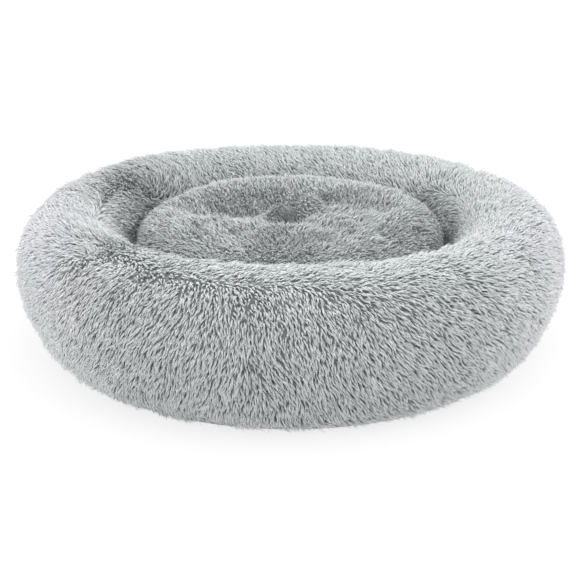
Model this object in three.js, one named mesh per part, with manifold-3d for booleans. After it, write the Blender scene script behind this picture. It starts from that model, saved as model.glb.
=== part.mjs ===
// Round pet cushion bed: a plump fur-covered bolster ring on a flat base, with a lift-out centre cushion.
// Units are millimetres, +Z is up, the front is -Y. The origin is the centre of the base's underside.

import * as THREE from 'three';
import { mergeVertices } from 'three/addons/utils/BufferGeometryUtils.js';
import Module from 'manifold-3d';

const wasm = await Module();
wasm.setup();

// ---------- Driving dimensions ----------

const FIT_GAP = 0.3; // between pieces that touch
const LATHE_SEGMENTS = 36;
const BOLSTER_STEPS = 4; // along each quarter of the bolster's section, the same for every layer
const ROLL_STEPS = 3; // along the cushion's rolled edge, the same for every layer
const DIMPLE_RADII = [14, 34, 70]; // where the cushion's upper surface is given around its tuft

const BED = {
  outerRadius: 457, // at the widest point, to the pile's tips
  height: 243, // floor to the bolster's crest
  widestHeight: 146,
  crestRadius: 378, // radius at which the crest runs
  throatRadius: 270, // narrowest point of the opening
  baseRadius: 386, // base panel and zip band
  wellFlare: 16, // how much wider than the throat the inner wall's foot is
  wallBottom: 38, // lower edge of the outer fur wall, top of the zip band
};

const BASE = {
  panelThickness: 1.2,
  bindingWidth: 2.2,
  bindingHeight: 2.7,
  padThickness: 5.5,
  floorThickness: 1.2,
};

const COVER = {
  thickness: 14, // backing cloth and pile together
  bandThickness: 10, // the fur band below the bolster
};

const LINER = {
  thickness: 0.8,
  gap: 0.5,
  slitHalfWidth: 7, // filling slit, sewn up by hand
};

const CUSHION = {
  clearance: 6, // cushion to throat, all round
  topHeight: 205, // above the floor
  widestHeight: 112,
  bandInset: 18, // zip band, inside the widest radius
  bandTop: 45,
  bandBottom: 17,
  crownPower: 4.4,
  topDimpleDepth: 20,
  topDimpleWidth: 34,
  bottomDimpleDepth: 8,
  bottomDimpleWidth: 24,
  coverThickness: 12,
  clothThickness: 1.2,
};

const TUFT = {
  boreRadius: 3,
  threadRadius: 1.2,
  buttonRadius: 9,
  buttonThickness: 3,
};

const ZIP = {
  tapeThickness: 0.6,
  coilDepth: 1.4,
  coilHeight: 1.8,
  coilGap: 0.8, // from the zip's centre line to a coil
  bladeHalfThickness: 0.5,
  plateThickness: 1.2,
  sliderLength: 10,
  sliderHeight: 9,
  bridgeWidth: 2,
  bridgeLength: 6,
  bridgeOpening: 2.6, // under the bridge, for the pull's bar
  bridgeBar: 1.2,
  pullWidth: 6.4,
  pullLength: 17,
  pullThickness: 1.3,
  pullBar: 1.4,
  pullHoleWidth: 3,
  pullClearance: 0.6, // pull's hole to the bridge's outer corner
  stopLength: 3,
  segmentDegrees: 2.5,
};

// Zip arcs, in degrees from +X towards +Y: both lie at the back.
const BED_ZIP = { radius: BED.baseRadius, from: 45, to: 150 };
const CUSHION_ZIP = { radius: 0, from: 50, to: 130 };

const LABEL = { width: 32, height: 26, thickness: 0.5, angle: 172, top: 26 };

// ---------- Sizes that follow ----------

const wellRadius = BED.throatRadius + BED.wellFlare;
const cushionRadius = BED.throatRadius - CUSHION.clearance;
CUSHION_ZIP.radius = cushionRadius - CUSHION.bandInset;

const padBottom = BASE.panelThickness + FIT_GAP;
const floorBottom = padBottom + BASE.padThickness + FIT_GAP;
const floorTop = floorBottom + BASE.floorThickness;
const cushionBottom = floorTop + 2 * FIT_GAP;
const bandBottom = BASE.bindingHeight + FIT_GAP;
const bedZipHeight = (bandBottom + BED.wallBottom) / 2;
const cushionZipHeight = (CUSHION.bandBottom + CUSHION.bandTop) / 2;

// ---------- Materials ----------

function finish(color, roughness, metalness = 0) {
  return new THREE.MeshStandardMaterial({ color, roughness, metalness });
}

const materials = {
  shag: () => finish(0xb9bfc1, 0.95),
  cloth: () => finish(0x6f7679, 0.85),
  fibre: () => finish(0xf0f0ec, 1.0),
  foam: () => finish(0xe3e2da, 0.95),
  tape: () => finish(0x8f9698, 0.8),
  coil: () => finish(0x9aa1a3, 0.45),
  metal: () => finish(0x8d9093, 0.35, 1.0),
  thread: () => finish(0xc8cccd, 0.7),
  label: () => finish(0xf2f2f0, 0.6),
};

// ---------- Geometry helpers ----------

function closedGeometry(geometry) {
  const merged = geometry.clone();
  merged.deleteAttribute('normal');
  merged.deleteAttribute('uv');
  return mergeVertices(merged, 1e-4);
}

function toSolid(geometry) {
  const merged = closedGeometry(geometry);
  const vertProperties = new Float32Array(merged.attributes.position.array);
  const triVerts = new Uint32Array(merged.index.array);
  return new wasm.Manifold(new wasm.Mesh({ numProp: 3, vertProperties, triVerts }));
}

function fromSolid(solid) {
  const mesh = solid.getMesh();
  const geometry = new THREE.BufferGeometry();
  geometry.setAttribute('position', new THREE.BufferAttribute(mesh.vertProperties, 3));
  geometry.setIndex(new THREE.BufferAttribute(mesh.triVerts, 1));
  geometry.computeVertexNormals();
  return geometry;
}

function piece(name, geometry, material) {
  const mesh = new THREE.Mesh(geometry, material);
  mesh.name = name;
  return mesh;
}

// A solid turned about +Z from a closed outline of [radius, height] points.
function turned(outline) {
  const points = outline.map(([radius, height]) => new THREE.Vector2(radius, height));
  const area = THREE.ShapeUtils.area(points);
  if (area < 0) {
    points.reverse();
  }
  points.push(points[0].clone());
  const geometry = new THREE.LatheGeometry(points, LATHE_SEGMENTS);
  geometry.rotateX(Math.PI / 2);
  return closedGeometry(geometry);
}

// A flat disc, or a ring when its inner radius isn't 0.
function disc(innerRadius, outerRadius, bottom, top) {
  if (innerRadius > 0) {
    return turned([[innerRadius, bottom], [outerRadius, bottom], [outerRadius, top], [innerRadius, top]]);
  }
  const geometry = new THREE.CylinderGeometry(outerRadius, outerRadius, top - bottom, LATHE_SEGMENTS);
  geometry.rotateX(Math.PI / 2);
  geometry.translate(0, 0, (bottom + top) / 2);
  return closedGeometry(geometry);
}

// A curved band that follows a circle about +Z between two angles.
function arcBand(innerRadius, outerRadius, bottom, top, fromDegrees, toDegrees) {
  const from = THREE.MathUtils.degToRad(fromDegrees);
  const to = THREE.MathUtils.degToRad(toDegrees);
  const steps = Math.max(2, Math.round((toDegrees - fromDegrees) / ZIP.segmentDegrees));
  const corner = (radius, step) => {
    const angle = from + ((to - from) * step) / steps;
    return new THREE.Vector2(radius * Math.cos(angle), radius * Math.sin(angle));
  };
  const outline = [];
  for (let step = 0; step <= steps; step += 1) {
    outline.push(corner(outerRadius, step));
  }
  for (let step = steps; step >= 0; step -= 1) {
    outline.push(corner(innerRadius, step));
  }
  const geometry = new THREE.ExtrudeGeometry(new THREE.Shape(outline), {
    depth: top - bottom,
    bevelEnabled: false,
    steps: 1,
  });
  geometry.translate(0, 0, bottom);
  return closedGeometry(geometry);
}

function arcPoint(centre, halfSize, angle) {
  return [centre[0] + halfSize[0] * Math.cos(angle), centre[1] + halfSize[1] * Math.sin(angle)];
}

// Points of a quarter ellipse, the first angle first and the last one left out.
function quarter(centre, halfSize, fromAngle, toAngle, steps) {
  const points = [];
  for (let step = 0; step < steps; step += 1) {
    points.push(arcPoint(centre, halfSize, fromAngle + ((toAngle - fromAngle) * step) / steps));
  }
  return points;
}

// ---------- Bolster ring ----------

// The bolster's section, from the outer wall's lower edge over the crest and down the throat to the
// floor, moved inwards by inset.
function bolsterCurve(inset) {
  const steps = BOLSTER_STEPS;
  const widest = BED.widestHeight;
  const right = 0;
  const top = Math.PI / 2;
  const left = Math.PI;
  const lowerOuter = [BED.outerRadius - BED.baseRadius, widest - BED.wallBottom];
  const upperOuter = [BED.outerRadius - BED.crestRadius - inset, BED.height - widest - inset];
  const upperInner = [BED.crestRadius - BED.throatRadius - inset, upperOuter[1]];
  const lowerInner = [BED.wellFlare, widest - floorTop - FIT_GAP];
  return [
    ...quarter([BED.baseRadius - inset, widest], lowerOuter, -top, right, steps),
    ...quarter([BED.crestRadius, widest], upperOuter, right, top, steps),
    ...quarter([BED.crestRadius, widest], upperInner, top, left, steps),
    ...quarter([wellRadius + inset, widest], lowerInner, left, left + top, steps),
    [wellRadius + inset, floorTop + FIT_GAP],
  ];
}

// The whole closed section, down to a flat bottom, for the filling and its liner.
function bolsterSection(inset, bottom) {
  const curve = bolsterCurve(inset);
  return [[BED.baseRadius - inset, bottom], ...curve, [wellRadius + inset, bottom]];
}

function bolsterCover() {
  const outside = bolsterCurve(0);
  const inside = bolsterCurve(COVER.thickness);
  return piece('bolster_cover', turned([...outside, ...inside.reverse()]), materials.shag());
}

function bolsterBand() {
  const geometry = arcBand(
    BED.baseRadius - COVER.bandThickness,
    BED.baseRadius,
    bandBottom,
    BED.wallBottom - FIT_GAP,
    BED_ZIP.to + 0.2,
    BED_ZIP.from + 360 - 0.2,
  );
  return piece('bolster_band', geometry, materials.shag());
}

function bolsterLiner() {
  const outerInset = COVER.thickness + LINER.gap;
  const innerInset = outerInset + LINER.thickness;
  const outerBottom = BASE.panelThickness + FIT_GAP;
  const innerBottom = outerBottom + LINER.thickness;
  const slitMiddle = (BED.baseRadius + wellRadius) / 2;
  const outside = bolsterSection(outerInset, outerBottom);
  const inside = bolsterSection(innerInset, innerBottom);
  const outline = [
    [slitMiddle + LINER.slitHalfWidth, outerBottom],
    ...outside,
    [slitMiddle - LINER.slitHalfWidth, outerBottom],
    [slitMiddle - LINER.slitHalfWidth, innerBottom],
    ...inside.reverse(),
    [slitMiddle + LINER.slitHalfWidth, innerBottom],
  ];
  return piece('bolster_liner', turned(outline), materials.fibre());
}

function bolsterFill() {
  const inset = COVER.thickness + 2 * LINER.gap + LINER.thickness;
  const bottom = BASE.panelThickness + FIT_GAP + LINER.thickness + LINER.gap;
  return piece('bolster_fill', turned(bolsterSection(inset, bottom)), materials.fibre());
}

// ---------- Base ----------

function basePieces() {
  const panel = disc(0, BED.baseRadius, 0, BASE.panelThickness);
  const bindingInner = BED.baseRadius + FIT_GAP;
  const binding = disc(bindingInner, bindingInner + BASE.bindingWidth, 0, BASE.bindingHeight);
  const wellEdge = wellRadius - BASE.bindingWidth - 2 * FIT_GAP;
  const pad = disc(0, wellEdge, padBottom, floorBottom - FIT_GAP);
  const floor = disc(0, wellEdge, floorBottom, floorTop);
  const wellBindingInner = wellEdge + FIT_GAP;
  const wellBinding = disc(
    wellBindingInner,
    wellBindingInner + BASE.bindingWidth,
    floorTop - BASE.bindingHeight,
    floorTop,
  );
  return [
    piece('base_panel', panel, materials.cloth()),
    piece('base_binding', binding, materials.tape()),
    piece('base_pad', pad, materials.foam()),
    piece('floor_panel', floor, materials.cloth()),
    piece('well_binding', wellBinding, materials.tape()),
  ];
}

function careLabel() {
  const geometry = new THREE.BoxGeometry(LABEL.thickness, LABEL.width, LABEL.height);
  const mesh = piece('care_label', closedGeometry(geometry), materials.label());
  const angle = THREE.MathUtils.degToRad(LABEL.angle);
  const radius = BED.baseRadius + LABEL.thickness / 2 + FIT_GAP;
  mesh.position.set(radius * Math.cos(angle), radius * Math.sin(angle), LABEL.top - LABEL.height / 2 + bandBottom);
  mesh.rotation.z = angle;
  return mesh;
}

// ---------- Zips ----------

function box(sizeX, sizeY, sizeZ, x, y, z) {
  const geometry = new THREE.BoxGeometry(sizeX, sizeY, sizeZ);
  geometry.translate(x, y, z);
  return geometry;
}

function joined(geometries) {
  const solids = geometries.map(toSolid);
  return fromSolid(solids.reduce((whole, next) => whole.add(next)));
}

const tapeOuter = (zip) => zip.radius - FIT_GAP;
const tapeInner = (zip) => tapeOuter(zip) - ZIP.tapeThickness;
const coilOuter = (zip) => zip.radius + ZIP.coilDepth;
const plateFront = (zip) => coilOuter(zip) + FIT_GAP;
const pullAxis = (zip) => plateFront(zip) + ZIP.plateThickness + ZIP.bridgeOpening / 2;

// Both tapes with their coils and end stops. Half is 1 above the centre line and -1 below it.
function zipHalves(prefix, zip, height, bottom, top) {
  const pieces = [];
  const halves = [['upper', 1, top], ['lower', -1, bottom]];
  for (const [side, half, edge] of halves) {
    const inner = height + half * ZIP.coilGap;
    const coilEdge = inner + half * ZIP.coilHeight;
    const tape = arcBand(
      tapeInner(zip), tapeOuter(zip), Math.min(inner, edge), Math.max(inner, edge), zip.from, zip.to,
    );
    const coil = arcBand(
      zip.radius, coilOuter(zip), Math.min(inner, coilEdge), Math.max(inner, coilEdge), zip.from + 1, zip.to - 1,
    );
    pieces.push(piece(`${prefix}_zip_tape_${side}`, tape, materials.tape()));
    pieces.push(piece(`${prefix}_zip_coil_${side}`, coil, materials.coil()));
  }
  const stopAngle = THREE.MathUtils.radToDeg(ZIP.stopLength / zip.radius);
  const reach = ZIP.coilGap + ZIP.coilHeight;
  const gapAngle = THREE.MathUtils.radToDeg(FIT_GAP / zip.radius);
  const ends = [['open', zip.from + 1 - gapAngle - stopAngle], ['closed', zip.to - 1 + gapAngle]];
  for (const [end, start] of ends) {
    const stop = arcBand(zip.radius, coilOuter(zip), height - reach, height + reach, start, start + stopAngle);
    pieces.push(piece(`${prefix}_zip_stop_${end}`, stop, materials.metal()));
  }
  return pieces;
}

// The slider is built about its own centre, with X outwards, Y along the zip and Z up.
function zipSlider(prefix, zip, height) {
  const front = plateFront(zip);
  const back = tapeInner(zip) - FIT_GAP;
  const plate = ZIP.plateThickness;
  const bridgeTop = front + plate + ZIP.bridgeOpening + ZIP.bridgeBar;
  const legY = (ZIP.bridgeLength - ZIP.bridgeBar) / 2;
  const legX = (front + bridgeTop) / 2;
  const geometry = joined([
    box(plate, ZIP.sliderLength, ZIP.sliderHeight, front + plate / 2, 0, 0),
    box(plate, ZIP.sliderLength, ZIP.sliderHeight, back - plate / 2, 0, 0),
    box(front - back + plate, ZIP.sliderLength / 2, 2 * ZIP.bladeHalfThickness, (front + back) / 2, 0, 0),
    box(bridgeTop - front, ZIP.bridgeBar, ZIP.bridgeWidth, legX, legY, 0),
    box(bridgeTop - front, ZIP.bridgeBar, ZIP.bridgeWidth, legX, -legY, 0),
    box(ZIP.bridgeBar, ZIP.bridgeLength, ZIP.bridgeWidth, bridgeTop - ZIP.bridgeBar / 2, 0, 0),
  ]);
  const slider = piece(`${prefix}_zip_slider`, geometry, materials.metal());
  slider.position.z = height;
  slider.rotation.z = THREE.MathUtils.degToRad(zip.to) - (ZIP.sliderLength / 2 + ZIP.stopLength + 6) / zip.radius;
  return slider;
}

// The pull lies along the zip, with the bar at its end under the slider's bridge. It is drawn with that
// bar on its own origin, then laid flat against the tape.
function zipPull(prefix, zip, height, slider) {
  const halfWidth = ZIP.pullWidth / 2;
  const holeHalf = ZIP.pullHoleWidth / 2;
  const holeStart = ZIP.pullBar / 2;
  const corner = Math.hypot(ZIP.bridgeLength / 2, ZIP.bridgeOpening / 2 + ZIP.bridgeBar);
  const holeEnd = corner + ZIP.pullClearance;
  const roundCentre = ZIP.pullLength - halfWidth;
  const outline = new THREE.Shape();
  outline.moveTo(-holeStart, -halfWidth);
  outline.lineTo(roundCentre, -halfWidth);
  outline.absarc(roundCentre, 0, halfWidth, -Math.PI / 2, Math.PI / 2, false);
  outline.lineTo(-holeStart, halfWidth);
  const hole = new THREE.Path();
  hole.moveTo(holeStart, -holeHalf);
  hole.lineTo(holeStart, holeHalf);
  hole.lineTo(holeEnd, holeHalf);
  hole.lineTo(holeEnd, -holeHalf);
  outline.holes.push(hole);
  const geometry = new THREE.ExtrudeGeometry(outline, {
    depth: ZIP.pullThickness,
    bevelEnabled: false,
    curveSegments: 8,
  });
  geometry.translate(0, 0, -ZIP.pullThickness / 2);
  geometry.rotateX(Math.PI / 2);
  geometry.rotateZ(-Math.PI / 2);
  const pull = piece(`${prefix}_zip_pull`, closedGeometry(geometry), materials.metal());
  const radius = pullAxis(zip);
  pull.position.set(radius * Math.cos(slider.rotation.z), radius * Math.sin(slider.rotation.z), height);
  pull.rotation.z = slider.rotation.z;
  return pull;
}

function zipPieces(prefix, zip, height, bottom, top) {
  const slider = zipSlider(prefix, zip, height);
  return [...zipHalves(prefix, zip, height, bottom, top), slider, zipPull(prefix, zip, height, slider)];
}

// ---------- Centre cushion ----------

// Height of a dimple's sag at a radius.
function dimple(radius, depth, width) {
  return depth * Math.exp(-((radius / width) ** 2));
}

// Height of the upper surface at a radius, as it is away from the rolled edge.
function crownHeight(across, radius, rise) {
  const { crownPower, widestHeight, topDimpleDepth, topDimpleWidth } = CUSHION;
  const full = Math.max(0, 1 - (across / radius) ** crownPower) ** (1 / crownPower);
  return widestHeight + rise * full - dimple(across, topDimpleDepth, topDimpleWidth);
}

// The upper surface, from the tuft's bore out to the zip band's upper edge, moved inwards by inset.
function cushionCrown(inset) {
  const radius = cushionRadius - inset;
  const rise = CUSHION.topHeight - CUSHION.widestHeight - inset;
  const across = [TUFT.boreRadius, ...DIMPLE_RADII];
  for (let step = 0; step <= ROLL_STEPS; step += 1) {
    const angle = Math.PI / 6 + (Math.PI / 3) * (step / ROLL_STEPS);
    across.push(radius * Math.sin(angle) ** (2 / CUSHION.crownPower));
  }
  const points = across.map((value) => [value, crownHeight(value, radius, rise)]);
  const lower = [CUSHION.bandInset, CUSHION.widestHeight - CUSHION.bandTop];
  const centre = [radius - CUSHION.bandInset, CUSHION.widestHeight];
  const curve = quarter(centre, lower, 0, -Math.PI / 2, ROLL_STEPS);
  return [...points, ...curve.slice(1), [centre[0], CUSHION.bandTop]];
}

// The underside, from the tuft's bore out to the zip band, moved inwards by inset.
function cushionUnderside(inset, wallTop) {
  const radii = [TUFT.boreRadius, ...DIMPLE_RADII];
  const edge = CUSHION_ZIP.radius - inset;
  const points = radii.map((radius) => {
    const sag = dimple(radius, CUSHION.bottomDimpleDepth, CUSHION.bottomDimpleWidth);
    return [radius, cushionBottom + inset + sag];
  });
  return [...points, [edge - 6, cushionBottom + inset], [edge, cushionBottom + inset + 4], [edge, wallTop]];
}

function cushionTopCover() {
  const outside = cushionCrown(0);
  const inside = cushionCrown(CUSHION.coverThickness);
  return piece('cushion_top_cover', turned([...outside, ...inside.reverse()]), materials.shag());
}

function cushionBottomCover() {
  const wallTop = CUSHION.bandBottom - FIT_GAP;
  const outside = cushionUnderside(0, wallTop);
  const inside = cushionUnderside(CUSHION.clothThickness, wallTop);
  return piece('cushion_bottom_cover', turned([...outside, ...inside.reverse()]), materials.cloth());
}

function cushionBand() {
  const geometry = arcBand(
    CUSHION_ZIP.radius - CUSHION.clothThickness,
    CUSHION_ZIP.radius,
    CUSHION.bandBottom,
    CUSHION.bandTop - FIT_GAP,
    CUSHION_ZIP.to + 0.2,
    CUSHION_ZIP.from + 360 - 0.2,
  );
  return piece('cushion_band', geometry, materials.cloth());
}

// The closed section inside the covers: the crown and the underside joined by the band's inner face.
function cushionSection(inset, undersideInset) {
  const crown = cushionCrown(inset);
  const underside = cushionUnderside(undersideInset, CUSHION.bandBottom);
  underside.pop();
  const edge = crown[crown.length - 1][0];
  const trimmed = underside.map(([radius, height]) => [Math.min(radius, edge), height]);
  return { crown, underside: trimmed.reverse() };
}

function cushionLiner() {
  const inset = CUSHION.coverThickness + LINER.gap;
  const undersideInset = CUSHION.clothThickness + LINER.gap;
  const outside = cushionSection(inset, undersideInset);
  const inside = cushionSection(inset + LINER.thickness, undersideInset + LINER.thickness);
  const outline = [
    ...outside.crown,
    ...outside.underside,
    ...inside.underside.reverse(),
    ...inside.crown.reverse(),
  ];
  return piece('cushion_liner', turned(outline), materials.fibre());
}

function cushionFill() {
  const inset = CUSHION.coverThickness + 2 * LINER.gap + LINER.thickness;
  const undersideInset = CUSHION.clothThickness + 2 * LINER.gap + LINER.thickness;
  const section = cushionSection(inset, undersideInset);
  return piece('cushion_fill', turned([...section.crown, ...section.underside]), materials.fibre());
}

function tuftPieces() {
  const rise = CUSHION.topHeight - CUSHION.widestHeight;
  const topSeat = crownHeight(DIMPLE_RADII[0], cushionRadius, rise) + FIT_GAP;
  const underside = dimple(DIMPLE_RADII[0], CUSHION.bottomDimpleDepth, CUSHION.bottomDimpleWidth);
  const bottomSeat = cushionBottom + underside - FIT_GAP;
  const topButton = disc(0, TUFT.buttonRadius, topSeat, topSeat + TUFT.buttonThickness);
  const bottomButton = disc(0, TUFT.buttonRadius, bottomSeat - TUFT.buttonThickness, bottomSeat);
  const thread = disc(0, TUFT.threadRadius, bottomSeat + FIT_GAP, topSeat - FIT_GAP);
  return [
    piece('tuft_button_top', topButton, materials.cloth()),
    piece('tuft_button_bottom', bottomButton, materials.coil()),
    piece('tuft_thread', thread, materials.thread()),
  ];
}

// ---------- Assembly ----------

function bed() {
  const group = new THREE.Group();
  group.add(bolsterCover(), bolsterBand(), bolsterLiner(), bolsterFill());
  group.add(...basePieces());
  group.add(...zipPieces('bed', BED_ZIP, bedZipHeight, bandBottom, BED.wallBottom - FIT_GAP));
  group.add(careLabel());
  return group;
}

function cushion() {
  const group = new THREE.Group();
  group.add(cushionTopCover(), cushionBottomCover(), cushionBand(), cushionLiner(), cushionFill());
  group.add(...tuftPieces());
  group.add(
    ...zipPieces('cushion', CUSHION_ZIP, cushionZipHeight, CUSHION.bandBottom, CUSHION.bandTop - FIT_GAP),
  );
  return group;
}

const model = new THREE.Group();
model.add(bed(), cushion());

export default model;
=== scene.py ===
"""Round pet cushion bed: long-pile bolster ring, lift-out tufted cushion, base and zips."""

import logging
import math
from dataclasses import dataclass, field
from enum import Enum
from typing import Callable, Sequence, Union

import bpy
import numpy as np
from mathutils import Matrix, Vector


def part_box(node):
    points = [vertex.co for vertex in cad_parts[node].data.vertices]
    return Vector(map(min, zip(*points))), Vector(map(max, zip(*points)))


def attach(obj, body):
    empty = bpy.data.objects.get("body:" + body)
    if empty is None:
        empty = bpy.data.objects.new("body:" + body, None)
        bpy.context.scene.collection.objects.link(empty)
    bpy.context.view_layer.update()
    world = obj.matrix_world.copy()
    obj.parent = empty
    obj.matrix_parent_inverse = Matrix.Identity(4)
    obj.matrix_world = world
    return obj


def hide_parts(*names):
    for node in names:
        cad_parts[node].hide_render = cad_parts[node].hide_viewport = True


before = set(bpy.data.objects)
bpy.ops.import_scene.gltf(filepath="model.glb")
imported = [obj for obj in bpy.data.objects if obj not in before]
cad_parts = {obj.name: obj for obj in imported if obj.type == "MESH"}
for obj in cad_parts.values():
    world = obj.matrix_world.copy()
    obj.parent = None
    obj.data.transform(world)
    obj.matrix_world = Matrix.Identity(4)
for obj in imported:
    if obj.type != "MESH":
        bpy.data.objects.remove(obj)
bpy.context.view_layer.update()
LOG = logging.getLogger("pet_bed")
Colour = tuple[float, float, float]
Place = tuple[float, float, float]
Area = Callable[[np.ndarray], np.ndarray]
Outline = Sequence[tuple[float, float]]
Row = tuple[float, float, float, float]
MM = 0.001
FULL_TURN = 360.0
STUFFING_PRESSURE = 4.0
STUFFING_STEPS = 20
LEAST_HOLD = 0.02
CREASE = 50.0
FINE_STEP = 1.25
COARSE_STEP = 2.5
STITCH_PITCH = 3.8 * MM
STITCH_LENGTH = 3.0 * MM
STITCH_THICKNESS = 0.5 * MM
STITCH_PROUD = 0.1 * MM


class Body(Enum):
    """The bodies that new pieces ride on."""

    BED = "bed"
    CUSHION = "cushion"


class Slot(Enum):
    """The record's finishes."""

    SHAG = "shag"
    BASE_CLOTH = "base_cloth"
    FLOOR_CLOTH = "floor_cloth"
    BINDING = "binding_tape"
    LINER = "liner_cloth"
    FIBRE = "fibre"
    FOAM = "foam"
    ZIP_TAPE = "zip_tape"
    ZIP_COIL = "zip_coil"
    BUTTON = "button_plastic"
    THREAD = "thread"
    LABEL = "label_satin"


# ---------- Shader building ----------

class Value:
    """A number socket that takes part in arithmetic, which adds the Math nodes it needs."""

    def __init__(self, graph: "Graph", socket: bpy.types.NodeSocket) -> None:
        """Keeps the socket and the graph that it belongs to."""
        self.graph = graph
        self.socket = socket

    def maths(self, operation: str, left: "Number", right: "Number" = 0.0) -> "Value":
        """Adds one Math node.

        Args:
            operation: The node's operation.
            left: Its first number.
            right: Its second number, where it has one.

        Returns:
            The node's result.
        """
        node = self.graph.node("ShaderNodeMath", {"operation": operation}, {0: left, 1: right})
        return Value(self.graph, node.outputs[0])

    def __add__(self, other: "Number") -> "Value":
        """Returns self + other."""
        return self.maths("ADD", self, other)

    def __sub__(self, other: "Number") -> "Value":
        """Returns self - other."""
        return self.maths("SUBTRACT", self, other)

    def __mul__(self, other: "Number") -> "Value":
        """Returns self * other."""
        return self.maths("MULTIPLY", self, other)

    def __pow__(self, other: "Number") -> "Value":
        """Returns self ** other."""
        return self.maths("POWER", self, other)

    def wave(self) -> "Value":
        """Returns the sine of the value."""
        return self.maths("SINE", self)

    def clamped(self) -> "Value":
        """Returns the value kept between 0 and 1."""
        node = self.graph.node("ShaderNodeClamp", {}, {"Value": self})
        return Value(self.graph, node.outputs[0])


Number = Union[float, Value]


class Graph:
    """The node tree of one material: a Principled shader and the nodes that feed it."""

    def __init__(self, name: str) -> None:
        """Makes the material with an empty tree, a shader and an output."""
        self.material = bpy.data.materials.new(name)
        self.material.use_nodes = True
        self.tree = self.material.node_tree
        self.tree.nodes.clear()
        output = self.tree.nodes.new("ShaderNodeOutputMaterial")
        self.shader = self.tree.nodes.new("ShaderNodeBsdfPrincipled")
        self.tree.links.new(self.shader.outputs[0], output.inputs[0])

    def plug(self, socket: bpy.types.NodeSocket, value: object) -> None:
        """Links a value or socket into a socket, or sets the socket's own constant."""
        if isinstance(value, Value):
            value = value.socket
        if isinstance(value, bpy.types.NodeSocket):
            self.tree.links.new(value, socket)
        elif socket.type == "RGBA" and len(value) == 3:
            socket.default_value = (*value, 1.0)
        else:
            socket.default_value = value

    def node(self, kind: str, settings: dict, inputs: dict) -> bpy.types.Node:
        """Adds a node.

        Args:
            kind: The node's type.
            settings: Its own settings, set first.
            inputs: What goes into its sockets, by their name or number.

        Returns:
            The node.
        """
        node = self.tree.nodes.new(kind)
        for name, setting in settings.items():
            setattr(node, name, setting)
        for key, value in inputs.items():
            self.plug(node.inputs[key], value)
        return node

    def attribute(self, name: str) -> Value:
        """Returns a piece's own number attribute."""
        return Value(self, self.node("ShaderNodeAttribute", {"attribute_name": name}, {}).outputs["Fac"])

    def place(self) -> bpy.types.NodeSocket:
        """Returns the object coordinates."""
        return self.node("ShaderNodeTexCoord", {}, {}).outputs["Object"]

    def axis(self, which: int) -> Value:
        """Returns one of the object coordinates: 0 is X, 1 is Y and 2 is Z."""
        return Value(self, self.node("ShaderNodeSeparateXYZ", {}, {0: self.place()}).outputs[which])

    def noise(self, scale: float, detail: float) -> Value:
        """Returns a noise of the given scale over the object coordinates, from 0 to 1."""
        inputs = {"Vector": self.place(), "Scale": scale, "Detail": detail}
        return Value(self, self.node("ShaderNodeTexNoise", {}, inputs).outputs[0])

    def mix(self, factor: Number, first: object, second: object, blend: str = "MIX") -> bpy.types.NodeSocket:
        """Mixes two colours.

        Args:
            factor: How much of the second one there is.
            first: A colour or a colour's socket.
            second: A colour or a colour's socket.
            blend: The way they are blended.

        Returns:
            The mixed colour's socket.
        """
        settings = {"data_type": "RGBA", "blend_type": blend}
        return self.node("ShaderNodeMix", settings, {0: factor, 6: first, 7: second}).outputs[2]

    def bump(self, height: Value, strength: float, distance: float) -> None:
        """Raises the surface by a height field, through the shader's normal."""
        inputs = {"Height": height, "Strength": strength, "Distance": distance}
        self.plug(self.shader.inputs["Normal"], self.node("ShaderNodeBump", {}, inputs).outputs[0])

    def finish(self, **sockets: object) -> bpy.types.Material:
        """Sets the shader's sockets, named in lower case with underscores, and returns the material."""
        for name, value in sockets.items():
            self.plug(self.shader.inputs[name.replace("_", " ").title()], value)
        return self.material


# ---------- Finishes ----------

@dataclass(frozen=True)
class FurFinish:
    """Long pile: painted shade near the skin, lighter at the tip, with a tint of its own on every lock."""

    name: str = "shag_fur"
    # Painted shade: the colour near the skin, dark to stand in for the shade between the locks.
    root_shade: Colour = (0.36, 0.385, 0.385)
    tip: Colour = (0.80, 0.835, 0.84)
    warm_tint_and_painted_light: Colour = (0.86, 0.855, 0.89)
    # Painted shadow: near-black, for locks whose rise falls below 0, as in the tuft's hollow and other shaded
    # places.
    deep: Colour = (0.05, 0.055, 0.058)
    painted_shadow_share: float = 0.45
    root_power: float = 0.75
    tint_share: float = 0.09
    tint_at_root: float = 0.3
    # Warmer patches are the fur's own tint; the side term is painted light that lifts the tips towards both
    # sides.
    warm_scale: float = 5.0
    warm_contrast: float = 2.0
    painted_light_toward_sides: float = 7.0
    warm_from: float = 0.6

    def material(self) -> bpy.types.Material:
        """Returns the fur's material, whose tips are warmer in patches, with painted light making them
        lighter towards both sides, and painted shade near the skin.
        """
        graph = Graph(self.name)
        rise = graph.attribute("rise")
        tint = graph.attribute("tint")
        # Painted shade: each blade runs from the dark colour near the skin to the tip colour, standing in for
        # shade deep in the pile.
        tint_along = rise * (1 - self.tint_at_root) + self.tint_at_root
        light = (rise ** self.root_power + tint * self.tint_share * tint_along).clamped()
        side = graph.axis(0)
        # Warmer patches are the fur's own tint; the term in the side coordinate is painted light, lighter
        # towards both sides.
        blotch = (graph.noise(self.warm_scale, 1.0) - 0.5) * self.warm_contrast
        warm_patch_and_side_light = (blotch + side * side * self.painted_light_toward_sides - self.warm_from).clamped()
        tip = graph.mix(warm_patch_and_side_light, self.tip, self.warm_tint_and_painted_light)
        colour = graph.mix(light, self.root_shade, tip)
        # Painted shadow: below 0 the rise takes the colour towards near-black.
        depth = (rise * -self.painted_shadow_share).clamped()
        return graph.finish(
            base_color=graph.mix(depth, colour, self.deep),
            roughness=tint * 0.06 + 0.72,
            sheen_weight=0.35,
            sheen_roughness=0.45,
        )


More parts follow.
